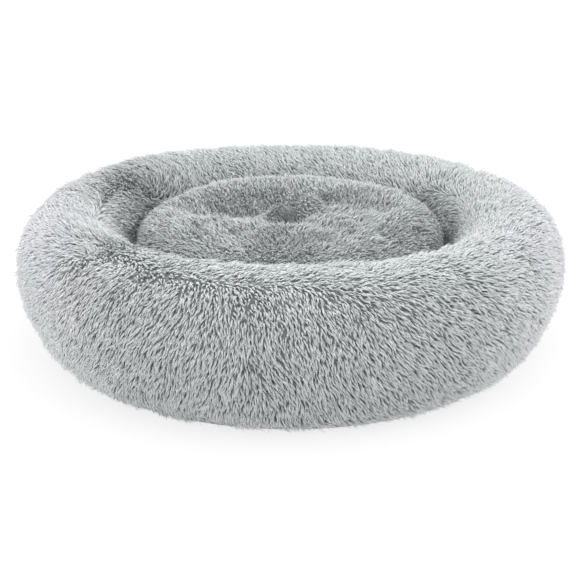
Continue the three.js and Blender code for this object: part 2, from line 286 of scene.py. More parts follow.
@dataclass(frozen=True)
class WeaveFinish:
    """A plain weave, drawn on the object coordinates."""

    name: str
    thread: Colour
    gap: Colour
    pitch: float = 0.9 * MM
    roughness: float = 0.8
    worn: Colour = (0.8, 0.8, 0.8)
    wear_scale: float = 18.0
    wear_share: float = 0.35
    relief: float = 0.2 * MM

    def material(self) -> bpy.types.Material:
        """Returns the cloth's material."""
        graph = Graph(self.name)
        turns = 2 * math.pi / self.pitch
        across = (graph.axis(0) * turns).wave()
        along = (graph.axis(1) * turns).wave()
        up = (graph.axis(2) * turns).wave()
        weave = (across * along + up * 0.35) * 0.5 + 0.5
        wear = graph.noise(self.wear_scale, 3.0)
        colour = graph.mix(weave.clamped(), self.gap, self.thread)
        colour = graph.mix((wear - 0.4) * self.wear_share, colour, self.worn, "MULTIPLY")
        graph.bump(weave, 0.35, self.relief)
        return graph.finish(base_color=colour, roughness=wear * 0.12 + self.roughness - 0.06)


@dataclass(frozen=True)
class GrainFinish:
    """Loose fibre, foam, thread or knitted backing, mottled and slightly raised."""

    name: str
    light: Colour
    dark: Colour
    scale: float = 160.0
    detail: float = 6.0
    strength: float = 0.7
    relief: float = 1.5 * MM
    roughness: float = 0.95

    def material(self) -> bpy.types.Material:
        """Returns the material."""
        graph = Graph(self.name)
        grain = graph.noise(self.scale, self.detail)
        graph.bump(grain, self.strength, self.relief)
        return graph.finish(base_color=graph.mix(grain, self.dark, self.light), roughness=self.roughness)


@dataclass(frozen=True)
class HardFinish:
    """Lacquered metal or satin plastic, rubbed lighter in places."""

    name: str
    colour: Colour
    rubbed: Colour
    roughness: float = 0.35
    metallic: float = 0.0
    wear_scale: float = 350.0
    wear_contrast: float = 4.0

    def material(self) -> bpy.types.Material:
        """Returns the material."""
        graph = Graph(self.name)
        wear = ((graph.noise(self.wear_scale, 4.0) - 0.45) * self.wear_contrast).clamped()
        return graph.finish(
            base_color=graph.mix(wear * 0.5, self.colour, self.rubbed),
            roughness=wear * 0.15 + self.roughness,
            metallic=self.metallic,
        )


FUR = FurFinish().material()
BACKING_COLOURS = ((0.40, 0.42, 0.425), (0.22, 0.235, 0.24))
BACKING = GrainFinish("fur_backing", *BACKING_COLOURS, 420.0, 3.0, 0.6, 2 * MM, 0.9).material()
BASE_CLOTH = WeaveFinish("base_cloth", (0.075, 0.085, 0.092), (0.03, 0.034, 0.037), 1.4 * MM, 0.6).material()
FLOOR_CLOTH = WeaveFinish("floor_cloth", (0.2, 0.215, 0.22), (0.1, 0.11, 0.115)).material()
BINDING = WeaveFinish("binding_tape", (0.36, 0.38, 0.385), (0.2, 0.21, 0.215), 0.7 * MM).material()
ZIP_TAPE = WeaveFinish("zip_tape", (0.27, 0.29, 0.3), (0.16, 0.17, 0.18), 0.8 * MM).material()
LABEL = WeaveFinish("label_satin", (0.86, 0.86, 0.84), (0.78, 0.78, 0.76), 0.4 * MM, 0.4).material()
LINER = GrainFinish("liner_cloth", (0.84, 0.84, 0.82), (0.68, 0.68, 0.66), 240.0).material()
FIBRE = GrainFinish("hollow_fibre", (0.9, 0.9, 0.88), (0.66, 0.66, 0.64), 120.0).material()
FOAM = GrainFinish("fine_foam", (0.8, 0.79, 0.73), (0.6, 0.59, 0.54), 600.0).material()
COIL = HardFinish("zip_coil", (0.33, 0.35, 0.36), (0.45, 0.47, 0.48), 0.4).material()
METAL = HardFinish("zip_metal", (0.22, 0.23, 0.24), (0.5, 0.51, 0.52), 0.3, 0.9).material()
GRIP = HardFinish("grip_dots", (0.045, 0.05, 0.054), (0.07, 0.075, 0.08), 0.55).material()
THREAD = GrainFinish("thread", (0.62, 0.64, 0.64), (0.45, 0.47, 0.47), 900.0).material()


# ---------- Mesh helpers ----------

def deselect() -> None:
    """Leaves nothing selected."""
    bpy.ops.object.select_all(action="DESELECT")


def make_active(piece: bpy.types.Object) -> None:
    """Selects one piece alone and makes it the active one."""
    deselect()
    piece.select_set(True)
    bpy.context.view_layer.objects.active = piece


def points_of(piece: bpy.types.Object) -> np.ndarray:
    """Returns a piece's vertices as rows of X, Y and Z."""
    flat = np.empty(len(piece.data.vertices) * 3)
    piece.data.vertices.foreach_get("co", flat)
    return flat.reshape(-1, 3)


def set_points(piece: bpy.types.Object, points: np.ndarray) -> None:
    """Puts a piece's vertices at the given places."""
    piece.data.vertices.foreach_set("co", points.ravel())
    piece.data.update()


def turn_of(points: np.ndarray) -> np.ndarray:
    """Returns each point's angle round the bed, in radians."""
    return np.arctan2(points[:, 1], points[:, 0])


def reach_of(points: np.ndarray) -> np.ndarray:
    """Returns each point's distance from the bed's upright axis."""
    return np.hypot(points[:, 0], points[:, 1])


def mesh_piece(name: str, points: np.ndarray, corners: np.ndarray, sizes: np.ndarray) -> bpy.types.Object:
    """Makes a piece of smooth faces from lists.

    Args:
        name: The piece's name.
        points: Its vertices, as rows of X, Y and Z.
        corners: The vertices of every face, one face after another.
        sizes: How many corners each face has.

    Returns:
        The piece.
    """
    mesh = bpy.data.meshes.new(name)
    mesh.vertices.add(len(points))
    mesh.vertices.foreach_set("co", points.ravel())
    mesh.loops.add(len(corners))
    mesh.loops.foreach_set("vertex_index", corners.astype(np.int32))
    mesh.polygons.add(len(sizes))
    starts = np.concatenate([[0], np.cumsum(sizes)[:-1]])
    mesh.polygons.foreach_set("loop_start", starts.astype(np.int32))
    mesh.polygons.foreach_set("use_smooth", np.ones(len(sizes), dtype=bool))
    mesh.update(calc_edges=True)
    piece = bpy.data.objects.new(name, mesh)
    bpy.context.collection.objects.link(piece)
    return piece


def dress(piece: bpy.types.Object, material: bpy.types.Material, body: Body) -> None:
    """Gives a piece its material and the body it rides on."""
    piece.data.materials.clear()
    piece.data.materials.append(material)
    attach(piece, body.value)
    LOG.info("%s: %d faces on %s", piece.name, len(piece.data.polygons), body.value)


def smooth_bump(value: np.ndarray, width: float) -> np.ndarray:
    """Returns a bell that is 1 at 0 and falls away over the width."""
    return np.exp(-((value / width) ** 2))


def ramp(value: np.ndarray, start: float, end: float) -> np.ndarray:
    """Returns 0 up to the start, 1 from the end on, and a straight rise between them."""
    return np.clip((value - start) / (end - start), 0, 1)


def turn_between(angle: np.ndarray, centre: float) -> np.ndarray:
    """Returns the signed angle from a centre, in radians, for angles in radians and a centre in degrees."""
    return (angle - math.radians(centre) + math.pi) % (2 * math.pi) - math.pi


@dataclass(frozen=True)
class Ripple:
    """A smooth field of values about -1 to 1 over space, the same on every run."""

    size: float
    seed: int
    waves: int = 14

    def at(self, points: np.ndarray) -> np.ndarray:
        """Returns the field's values at rows of points."""
        draw = np.random.default_rng(self.seed)
        directions = draw.normal(size=(self.waves, 3))
        directions /= np.linalg.norm(directions, axis=1, keepdims=True)
        lengths = draw.uniform(0.65, 1.5, self.waves) * 2 * math.pi / self.size
        phases = draw.uniform(0, 2 * math.pi, self.waves)
        angles = points @ (directions * lengths[:, None]).T + phases
        return np.sin(angles).sum(1) / math.sqrt(self.waves / 2) * 0.7


def inflate(piece: bpy.types.Object, held: Callable[[np.ndarray], np.ndarray], cap: float) -> None:
    """Swells a closed cloth by simulation, then caps how far each point has moved.

    Args:
        piece: The closed mesh.
        held: Gives each point's hold, from 0, free, to 1, pinned.
        cap: The furthest that a point may move, in metres.
    """
    start = points_of(piece)
    group = piece.vertex_groups.new(name="held")
    for index, weight in enumerate(held(start)):
        if weight > LEAST_HOLD:
            group.add([index], float(weight), "REPLACE")
    make_active(piece)
    cloth = piece.modifiers.new("stuffing", "CLOTH")
    cloth.settings.quality = 4
    cloth.settings.mass = 0.25
    cloth.settings.use_pressure = True
    cloth.settings.uniform_pressure_force = STUFFING_PRESSURE
    cloth.settings.vertex_group_mass = group.name
    cloth.settings.effector_weights.gravity = 0
    scene = bpy.context.scene
    for step in range(1, STUFFING_STEPS + 1):
        scene.frame_set(step)
    bpy.ops.object.modifier_apply(modifier=cloth.name)
    scene.frame_set(1)
    moved = points_of(piece) - start
    distance = np.linalg.norm(moved, axis=1, keepdims=True)
    set_points(piece, start + moved * np.minimum(1, cap / np.maximum(distance, 1e-9)))
    piece.vertex_groups.clear()


def remesh(piece: bpy.types.Object, voxel: float) -> None:
    """Gives a piece an even net of the given mesh width."""
    make_active(piece)
    modifier = piece.modifiers.new("net", "REMESH")
    modifier.mode = "VOXEL"
    modifier.voxel_size = voxel
    bpy.ops.object.modifier_apply(modifier=modifier.name)


def smooth(piece: bpy.types.Object) -> None:
    """Shades a piece smooth all over."""
    make_active(piece)
    bpy.ops.object.shade_smooth()


def spun(name: str, outline: Outline, start: float, end: float, step: float) -> bpy.types.Object:
    """Spins a closed outline round the bed's upright axis.

    Args:
        name: The piece's name.
        outline: Points of the outline, as radius and height.
        start: The angle at which it starts, in degrees.
        end: The angle at which it ends, a full turn later for a ring.
        step: The angle of one step.

    Returns:
        The piece.
    """
    ring = end - start >= FULL_TURN
    deselect()
    fill = "NOTHING" if ring else "NGON"
    bpy.ops.mesh.primitive_circle_add(vertices=len(outline), radius=0.01, fill_type=fill)
    piece = bpy.context.object
    piece.name = name
    angle = math.radians(start)
    rows = [(radius * math.cos(angle), radius * math.sin(angle), height) for radius, height in outline]
    set_points(piece, np.array(rows))
    bpy.ops.object.mode_set(mode="EDIT")
    bpy.ops.mesh.select_all(action="SELECT")
    bpy.ops.mesh.spin(
        steps=round((end - start) / step), angle=math.radians(end - start), center=(0, 0, 0), axis=(0, 0, 1)
    )
    bpy.ops.mesh.select_all(action="SELECT")
    bpy.ops.mesh.remove_doubles(threshold=0.01 * MM)
    bpy.ops.mesh.normals_make_consistent(inside=False)
    bpy.ops.object.mode_set(mode="OBJECT")
    bpy.ops.object.shade_smooth_by_angle(angle=math.radians(CREASE))
    return piece


def soft_edged(inner: float, outer: float, low: float, high: float) -> Outline:
    """Returns the outline of a strip with eased corners, as points of radius and height."""
    corner = 0.7 * MM
    return [
        (inner + corner, low),
        (outer - corner, low),
        (outer, low + corner),
        (outer, high - corner),
        (outer - corner, high),
        (inner + corner, high),
        (inner, high - corner),
        (inner, low + corner),
    ]


def tape_outline(inner: float, outer: float, low: float, high: float) -> Outline:
    """Returns the outline of a woven tape, which has a thicker selvedge along both edges."""
    rib = 0.25 * MM
    edge = 1.2 * MM
    slope = 0.3 * MM
    return [
        (inner, low),
        (outer + rib, low),
        (outer + rib, low + edge),
        (outer, low + edge + slope),
        (outer, high - edge - slope),
        (outer + rib, high - edge),
        (outer + rib, high),
        (inner, high),
    ]


def round_sheet(
    name: str,
    radius: float,
    low: float,
    high: float,
    relief: Callable[[np.ndarray, np.ndarray], np.ndarray] = lambda x, y: 0 * x,
    segments: int = 120,
    rings: int = 48,
    edge_power: float = 60.0,
) -> bpy.types.Object:
    """Flattens a sphere into a round sheet, disc or button with an eased edge.

    Args:
        name: The piece's name.
        radius: Its radius.
        low: The height of its underside.
        high: The height of its upper side.
        relief: How much higher both sides stand at each place.
        segments: The faces round it.
        rings: The faces from the middle of one side to the middle of the other.
        edge_power: How sharp its edge is.

    Returns:
        The piece.
    """
    deselect()
    bpy.ops.mesh.primitive_uv_sphere_add(segments=segments, ring_count=rings, radius=1)
    piece = bpy.context.object
    piece.name = name
    points = points_of(piece)
    theta = turn_of(points)
    polar = np.arctan2(reach_of(points), points[:, 2])
    share = 1 - np.abs(polar / (math.pi / 2) - 1)
    x = radius * share * np.cos(theta)
    y = radius * share * np.sin(theta)
    half = (high - low) / 2 * np.sqrt(np.clip(1 - share**edge_power, 0, 1))
    height = (high + low) / 2 + np.where(polar < math.pi / 2, half, -half) + relief(x, y)
    set_points(piece, np.stack([x, y, height], axis=1))
    smooth(piece)
    return piece


def bead(length: float, width: float, height: float, segments: int = 6, rings: int = 4) -> bpy.types.Object:
    """Makes one small rounded bead, the start of stitches, teeth and dots."""
    deselect()
    bpy.ops.mesh.primitive_uv_sphere_add(segments=segments, ring_count=rings, radius=0.5)
    piece = bpy.context.object
    set_points(piece, points_of(piece) * np.array([length, width, height]))
    return piece


def copies(unit_piece: bpy.types.Object, name: str, places: np.ndarray, axes: np.ndarray) -> bpy.types.Object:
    """Sews many copies of one small piece into one, and removes the first.

    Args:
        unit_piece: The small piece, modelled about the origin.
        name: The new piece's name.
        places: Where each copy's middle goes.
        axes: For each copy, the directions of its X, Y and Z as rows.

    Returns:
        The piece.
    """
    source = unit_piece.data
    corners = np.empty(len(source.loops), dtype=np.int32)
    source.loops.foreach_get("vertex_index", corners)
    sizes = np.empty(len(source.polygons), dtype=np.int32)
    source.polygons.foreach_get("loop_total", sizes)
    count = len(places)
    points = np.einsum("vk,ckj->cvj", points_of(unit_piece), axes) + places[:, None, :]
    loops = corners[None] + (np.arange(count) * len(source.vertices))[:, None]
    piece = mesh_piece(name, points.reshape(-1, 3), loops.ravel(), np.tile(sizes, count))
    bpy.data.objects.remove(unit_piece)
    return piece


def round_rows(rows: Sequence[Row], pitch: float) -> tuple[np.ndarray, np.ndarray]:
    """Spaces places along arcs about the bed's upright axis.

    Args:
        rows: For each arc its radius, height, start and end in degrees.
        pitch: The distance between places.

    Returns:
        The places, and for each the directions along the arc, outwards and up as rows.
    """
    places = []
    axes = []
    for radius, height, start, end in rows:
        count = round(math.radians(end - start) * radius / pitch)
        theta = np.radians(start) + np.radians(end - start) * (np.arange(count) + 0.5) / count
        cos, sin, zero = np.cos(theta), np.sin(theta), np.zeros(count)
        places.append(np.stack([radius * cos, radius * sin, np.full(count, height)], axis=1))
        along = np.stack([-sin, cos, zero], axis=1)
        out = np.stack([cos, sin, zero], axis=1)
        up = np.stack([zero, zero, zero + 1], axis=1)
        axes.append(np.stack([along, out, up], axis=1))
    return np.concatenate(places), np.concatenate(axes)


def stitches(name: str, rows: Sequence[Row], body: Body) -> bpy.types.Object:
    """Sews rows of stitches along arcs, each given by its radius, height, start and end in degrees."""
    places, axes = round_rows(rows, STITCH_PITCH)
    stitch = bead(STITCH_LENGTH, STITCH_THICKNESS, STITCH_THICKNESS, rings=3)
    piece = copies(stitch, name, places, axes)
    dress(piece, THREAD, body)
    return piece


def shrunk_copy(piece: bpy.types.Object, name: str, inset: float) -> bpy.types.Object:
    """Returns a copy of a piece, moved inwards along its normals, with a mesh of its own."""
    mesh = piece.data.copy()
    mesh.name = name
    copy = bpy.data.objects.new(name, mesh)
    bpy.context.collection.objects.link(copy)
    normals = np.empty(len(mesh.vertices) * 3)
    mesh.vertices.foreach_get("normal", normals)
    set_points(copy, points_of(piece) - normals.reshape(-1, 3) * inset)
    return copy


# ---------- Fur ----------

@dataclass(frozen=True)
class Stroke:
    """A place where the pile was stroked another way."""

    place: Place
    radius: float
    toward: Place
    weight: float = 1.0


@dataclass(frozen=True)
class Whorl:
    """A crown in the pile, which turns about a point and spreads away from it."""

    place: Place
    radius: float
    spin: float = 0.6
    spread: float = 1.0
    weight: float = 1.5


@dataclass(frozen=True)
class PinchShade:
    """A place where the cloth is drawn in and the locks are shorter there, or gone, and where painted shade
    darkens the pile; some only carry the painted shade.
    """

    place: Place
    radius: float
    shorter: float = 0.0
    # Painted shade: how much the locks are darkened here.
    painted_shade: float = 0.0
    whole_height: bool = False

    def near(self, points: np.ndarray) -> np.ndarray:
        """Returns how near each point is, from 0 to 1 at the place itself."""
        away = points - np.asarray(self.place)
        if self.whole_height:
            away = away[:, :2]
        return smooth_bump(np.linalg.norm(away, axis=1), self.radius)


@dataclass(frozen=True)
class Pile:
    """The sizes of the locks, and how tousled they are."""

    length: float = 20 * MM
    width: float = 1.75 * MM
    spacing: float = 3.5 * MM
    blades: int = 2
    spread: float = 0.7 * MM
    gravity: float = 0.2
    tousle: float = 0.16
    uneven_lift: float = 0.12
    length_drift: float = 0.13
    uneven_length: float = 0.1
    bend_at_root: float = 0.5
    bend_at_tip: float = 0.45
    root_depth: float = 1.5 * MM
    taper: float = 0.92
    keel: float = 1.1


@dataclass
class Combing:
    """Which way the pile lies, and how far it stands up, over a surface."""

    base: Callable[[np.ndarray, np.ndarray], np.ndarray]
    strokes: Sequence[Stroke] = ()
    whorls: Sequence[Whorl] = ()
    lift: float = 32.0
    stray: float = 26.0
    upright: Sequence[tuple[Place, float, float]] = ()
    pinches_and_shade: Sequence[PinchShade] = ()
    # Painted light on the top, the back and the sides, and painted shade low on the front wall.
    painted_light_top: float = 0.85
    painted_light_back: float = 0.2
    painted_light_sides: float = 0.85
    painted_shade_low: float = 0.45
    seed: int = 5

    def lengths(self, points: np.ndarray) -> np.ndarray:
        """Returns each lock's length as a share of the mean: shorter where the cloth is pinched."""
        share = np.ones(len(points))
        for pinch in self.pinches_and_shade:
            share = share - pinch.shorter * pinch.near(points)
        return share

    def painted_light_and_shade(self, points: np.ndarray, normals: np.ndarray) -> np.ndarray:
        """Returns the painted light on the locks down to their roots: most on top, at the back and on the
        sides.

        Below 0 it is painted shade, dark deeper into the pile, as low on the front wall and in a pinched
        place.
        """
        # Painted light: lighter on top, at the back and on the sides, where the lamps fall.
        top = ramp(normals[:, 2], 0.45, 0.85)
        back = ramp(points[:, 1], -0.05, 0.10)
        sides = ramp(np.abs(points[:, 0]), 0.24, 0.36)
        # Painted shade low on the front wall.
        low = ramp(-points[:, 2], -0.15, -0.06) * (1 - back) * (1 - sides)
        upper = self.painted_light_top * np.maximum(top, self.painted_light_back * back)
        soft = np.maximum(upper, self.painted_light_sides * sides) - self.painted_shade_low * low
        # Painted shade in each pinched place.
        for pinch in self.pinches_and_shade:
            soft = soft - pinch.painted_shade * pinch.near(points)
        return soft

    def lay(self, points: np.ndarray, normals: np.ndarray) -> np.ndarray:
        """Returns the unit direction along the surface in which each lock lies."""
        direction = unit(self.base(points, normals))
        for stroke in self.strokes:
            near = smooth_bump(np.linalg.norm(points - stroke.place, axis=1), stroke.radius)[:, None]
            direction = direction + near * stroke.weight * 2 * np.asarray(stroke.toward)
        for whorl in self.whorls:
            away = points - np.asarray(whorl.place)
            distance = np.linalg.norm(away, axis=1)
            near = smooth_bump(distance, whorl.radius)[:, None] * whorl.weight * 2
            out = unit(away)
            direction = direction + near * (out * whorl.spread + np.cross(normals, out) * whorl.spin)
        direction = unit(flatten(direction, normals))
        turn = np.radians(self.stray) * (
            Ripple(0.16, self.seed).at(points) * 0.6
            + Ripple(0.05, self.seed + 1).at(points) * 0.35
            + Ripple(0.022, self.seed + 2).at(points) * 0.3
        )
        return turned(direction, normals, turn)

    def lifts(self, points: np.ndarray) -> np.ndarray:
        """Returns each lock's angle above the surface, in radians."""
        angle = self.lift + 8 * Ripple(0.07, self.seed + 3).at(points)
        angle = angle + 6 * Ripple(0.024, self.seed + 4).at(points)
        for place, radius, more in self.upright:
            angle = angle + more * smooth_bump(np.linalg.norm(points - np.asarray(place), axis=1), radius)
        return np.radians(np.clip(angle, 12, 84))


def unit(vectors: np.ndarray) -> np.ndarray:
    """Returns the rows as unit vectors."""
    return vectors / np.maximum(np.linalg.norm(vectors, axis=-1, keepdims=True), 1e-9)


def flatten(vectors: np.ndarray, normals: np.ndarray) -> np.ndarray:
    """Returns the vectors' parts along the surface."""
    return vectors - normals * (vectors * normals).sum(1, keepdims=True)


def turned(vectors: np.ndarray, normals: np.ndarray, angle: np.ndarray) -> np.ndarray:
    """Returns vectors along the surface turned about its normals by angles in radians."""
    return vectors * np.cos(angle)[:, None] + np.cross(normals, vectors) * np.sin(angle)[:, None]


@dataclass
class Locks:
    """The blades of many locks: seven points each, a tint and the painted light and shade near the skin."""

    shapes: np.ndarray
    tints: np.ndarray
    # Painted light per blade; below 0, painted shade.
    soft: np.ndarray

    def part(self, chosen: np.ndarray) -> "Locks":
        """Returns the chosen blades."""
        return Locks(self.shapes[chosen], self.tints[chosen], self.soft[chosen])


TRIES_PER_LOCK = 3.2
CELLS_ACROSS = 4001
SHORTEST_LOCK = 0.12


@dataclass
class Coat:
    """Grows locks of fur on a skin."""

    skin: bpy.types.Object
    combing: Combing
    pile: Pile
    seed: int

    def roots(self, spacing: float, wanted: Area) -> tuple[np.ndarray, np.ndarray]:
        """Scatters lock roots evenly over the wanted parts of the skin.

        Args:
            spacing: The mean distance between locks.
            wanted: Says for each point whether locks grow there.

        Returns:
            The roots and the skin's normals there.
        """
        mesh = self.skin.data
        mesh.calc_loop_triangles()
        corners = np.empty(len(mesh.loop_triangles) * 3, dtype=np.int32)
        mesh.loop_triangles.foreach_get("vertices", corners)
        corners = corners.reshape(-1, 3)
        normals = np.empty(len(mesh.vertices) * 3)
        mesh.vertices.foreach_get("normal", normals)
        normals = normals.reshape(-1, 3)
        points = points_of(self.skin)
        triangle = points[corners]
        corners = corners[wanted(triangle.mean(1))]
        triangle = points[corners]
        sides = np.cross(triangle[:, 1] - triangle[:, 0], triangle[:, 2] - triangle[:, 0])
        area = np.linalg.norm(sides, axis=1) / 2
        draw = np.random.default_rng(self.seed)
        count = int(area.sum() / spacing**2 * TRIES_PER_LOCK)
        chosen = np.searchsorted(np.cumsum(area) / area.sum(), draw.random(count))
        share = np.sort(draw.random((count, 2)), axis=1)
        weights = np.stack([share[:, 0], share[:, 1] - share[:, 0], 1 - share[:, 1]], axis=1)[:, :, None]
        place = (triangle[chosen] * weights).sum(1)
        normal = unit((normals[corners[chosen]] * weights).sum(1))
        kept = np.arange(count)
        for shift in (0.0, 0.5):
            cell = np.floor(place[kept] / spacing + shift).astype(np.int64)
            key = (cell[:, 0] * CELLS_ACROSS + cell[:, 1]) * CELLS_ACROSS + cell[:, 2]
            kept = kept[np.sort(np.unique(key, return_index=True)[1])]
        return place[kept], normal[kept]

    def grow(self, areas: Sequence[tuple[float, Area]]) -> Locks:
        """Grows the locks of several areas, each with a spacing of its own.

        Args:
            areas: Each area's spacing, as a share of the pile's, and the points that belong to it.

        Returns:
            The locks.
        """
        grown = []
        for share, wanted in areas:
            roots, normals = self.roots(self.pile.spacing * share, wanted)
            grown.append(self.blades(roots, normals))
        return Locks(
            np.concatenate([locks.shapes for locks in grown]),
            np.concatenate([locks.tints for locks in grown]),
            np.concatenate([locks.soft for locks in grown]),
        )

    def blades(self, roots: np.ndarray, normals: np.ndarray) -> Locks:
        """Shapes the blades of every lock.

        Args:
            roots: The locks' roots.
            normals: The skin's normals there.

        Returns:
            The locks.
        """
        draw = np.random.default_rng(self.seed + 1)
        pile = self.pile
        grows = self.combing.lengths(roots) > SHORTEST_LOCK
        roots, normals = roots[grows], normals[grows]
        count = len(roots)
        lay = self.combing.lay(roots, normals)
        lay = turned(lay, normals, draw.normal(0, pile.tousle, count))
        lift = self.combing.lifts(roots) + draw.normal(0, pile.uneven_lift, count)
        side = np.cross(normals, lay)
        uneven = pile.length_drift * Ripple(0.03, self.seed).at(roots)
        uneven = uneven + draw.normal(0, pile.uneven_length, count)
        long = pile.length * (1 + uneven)
        long = long * self.combing.lengths(roots)
        rising = lift + pile.bend_at_root
        falling = lift - pile.bend_at_tip
        begin = normals * np.sin(rising)[:, None] + lay * np.cos(rising)[:, None]
        end = normals * np.sin(falling)[:, None] + lay * np.cos(falling)[:, None]
        end = end + side * draw.normal(0, 0.1 + 0.75 * pile.tousle, count)[:, None]
        end[:, 2] -= pile.gravity
        end = unit(end)
        middle = long[:, None] * (0.5 * begin + 0.125 * (end - begin))
        tip = long[:, None] * (begin + end) / 2
        lock_tint = 0.6 * draw.normal(0, 1, count) + 0.8 * Ripple(0.012, self.seed + 2).at(roots)
        shapes = []
        tints = []
        for blade in range(pile.blades):
            angle = 2 * math.pi * blade / pile.blades + draw.uniform(0, 1.2, count)
            off = (side * np.cos(angle)[:, None] + lay * np.sin(angle)[:, None]) * pile.spread
            off *= draw.uniform(0.6, 1.3, count)[:, None]
            reach = draw.uniform(0.78, 1.06, count)[:, None]
            base = roots + off - normals * pile.root_depth
            centre = roots + off * 0.9 + middle * reach
            point = roots + off * 0.25 + tip * reach + draw.normal(0, 0.5 * MM, (count, 3))
            along = unit(point - base)
            across = unit(np.cross(along, normals) + 1e-6)
            ridge = np.cross(across, along)
            wide = pile.width * draw.uniform(0.75, 1.2, count)[:, None]
            rings = []
            for heart, share in ((base, 1.0), (centre, pile.taper)):
                half = wide * share / 2
                rings += [heart + across * half, heart - across * half, heart + ridge * half * pile.keel]
            shapes.append(np.stack([*rings, point], axis=1))
            tints.append(lock_tint + draw.normal(0, 0.45, count))
        # Each blade's painted light and shade, from where it grows.
        soft = np.tile(self.combing.painted_light_and_shade(roots, normals), pile.blades)
        return Locks(np.concatenate(shapes), np.concatenate(tints), soft)


BLADE_POINTS = 7
MOST_TINT = 2.2
BLADE_FACES = np.array([[0, 1, 4, 3], [1, 2, 5, 4], [2, 0, 3, 5]])
BLADE_TIPS = np.array([[3, 4, 6], [4, 5, 6], [5, 3, 6], [2, 1, 0]])
BLADE_RISE = np.array([0.0, 0.0, 0.0, 0.52, 0.52, 0.62, 1.0])


def blade_cells(count: int) -> np.ndarray:
    """Returns the map places of every corner of every blade's faces, each blade in a cell of its own."""
    across = math.ceil(math.sqrt(count))
    cell = np.stack([np.arange(count) % across, np.arange(count) // across], axis=1)[:, None, :]
    left, right = 0.06, 0.94
    step = (right - left) / 3
    corners = []
    for strip in range(3):
        start = left + strip * step
        corners += [(start, 0.1), (start + step, 0.1), (start + step, 0.52), (start, 0.52)]
    for strip in range(3):
        start = left + strip * step
        corners += [(start, 0.54), (start + step, 0.54), (start + step / 2, 0.96)]
    corners += [(left, 0.02), (right, 0.02), (0.5, 0.08)]
    return ((cell + np.array(corners)[None]) / across).reshape(-1, 2)


def sew_locks(name: str, locks: Locks) -> bpy.types.Object:
    """Makes one piece of many blades.

    Args:
        name: The piece's name.
        locks: The locks.

    Returns:
        The piece.
    """
    count = len(locks.shapes)
    offset = (np.arange(count) * BLADE_POINTS)[:, None, None]
    quads = (BLADE_FACES[None] + offset).reshape(count, -1)
    tips = (BLADE_TIPS[None] + offset).reshape(count, -1)
    loops = np.concatenate([quads, tips], axis=1).ravel()
    sizes = np.tile([4] * len(BLADE_FACES) + [3] * len(BLADE_TIPS), count)
    piece = mesh_piece(name, locks.shapes.reshape(-1, 3), loops, sizes)
    mesh = piece.data
    # The rise attribute carries painted shade near the skin and light at the tip, raised by each lock's
    # painted light and pushed below 0 by its painted shade.
    rise = mesh.attributes.new("rise", "FLOAT", "POINT")
    soft = locks.soft[:, None]
    rise.data.foreach_set("value", (soft + (1 - soft) * BLADE_RISE[None]).ravel())
    tint = mesh.attributes.new("tint", "FLOAT", "POINT")
    tint.data.foreach_set("value", np.repeat(np.clip(locks.tints, -MOST_TINT, MOST_TINT), BLADE_POINTS))
    cells = mesh.uv_layers.new(name="OFBake")
    cells.data.foreach_set("uv", blade_cells(count).ravel())
    return piece


# ---------- Stuffed parts ----------

@dataclass(frozen=True)
class Bulge:
    """A stretch round the bed where a part is fuller, or slacker where its height is below 0."""

    turn: float
    width: float
    height: float

    def at(self, theta: np.ndarray) -> np.ndarray:
        """Returns how much fuller the part is at angles round the bed."""
        return self.height * smooth_bump(turn_between(theta, self.turn), self.width)


@dataclass
class Stuffed:
    """A plump part: fur on a backing skin, with a liner bag and a filling inside."""

    body: Body
    prefix: str
    covers: tuple[str, ...]
    fill: float
    net: float
    swell: float
    pile_inset: float
    widest_height: float
    bulges: tuple[Bulge, ...]
    pile: Pile
    liner_inset: float = 2 * MM
    filling_inset: float = 4 * MM
    skin: bpy.types.Object = field(init=False)
    liner: bpy.types.Object = field(init=False)
    filling: bpy.types.Object = field(init=False)

    def stuff(self, skin: bpy.types.Object) -> None:
        """Evens out the skin's net, swells it as stuffed cloth and puts the bag and the filling in."""
        skin.name = f"{self.prefix}_skin"
        remesh(skin, self.net)
        inflate(skin, self.held, self.swell)
        self.skin = skin
        self.liner = shrunk_copy(skin, f"{self.prefix}_liner_bag", self.liner_inset)
        self.filling = shrunk_copy(skin, f"{self.prefix}_filling", self.filling_inset)
        for piece in (self.liner, self.filling, skin):
            smooth(piece)

    def dress(self) -> None:
        """Gives the skin its backing, dresses the bag and the filling, and grows the fur."""
        dress(self.skin, BACKING, self.body)
        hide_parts(*self.covers)
        dress(self.liner, LINER, self.body)
        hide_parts(f"{self.prefix}_liner")
        dress(self.filling, FIBRE, self.body)
        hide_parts(f"{self.prefix}_fill")
        self.grow()

    def held(self, points: np.ndarray) -> np.ndarray:
        """Returns how firmly each point of the cloth is held, from 0, free, to 1, pinned."""
        raise NotImplementedError

    def grow(self) -> None:
        """Grows the fur and sews it in pieces."""
        raise NotImplementedError


# ---------- Bolster ----------

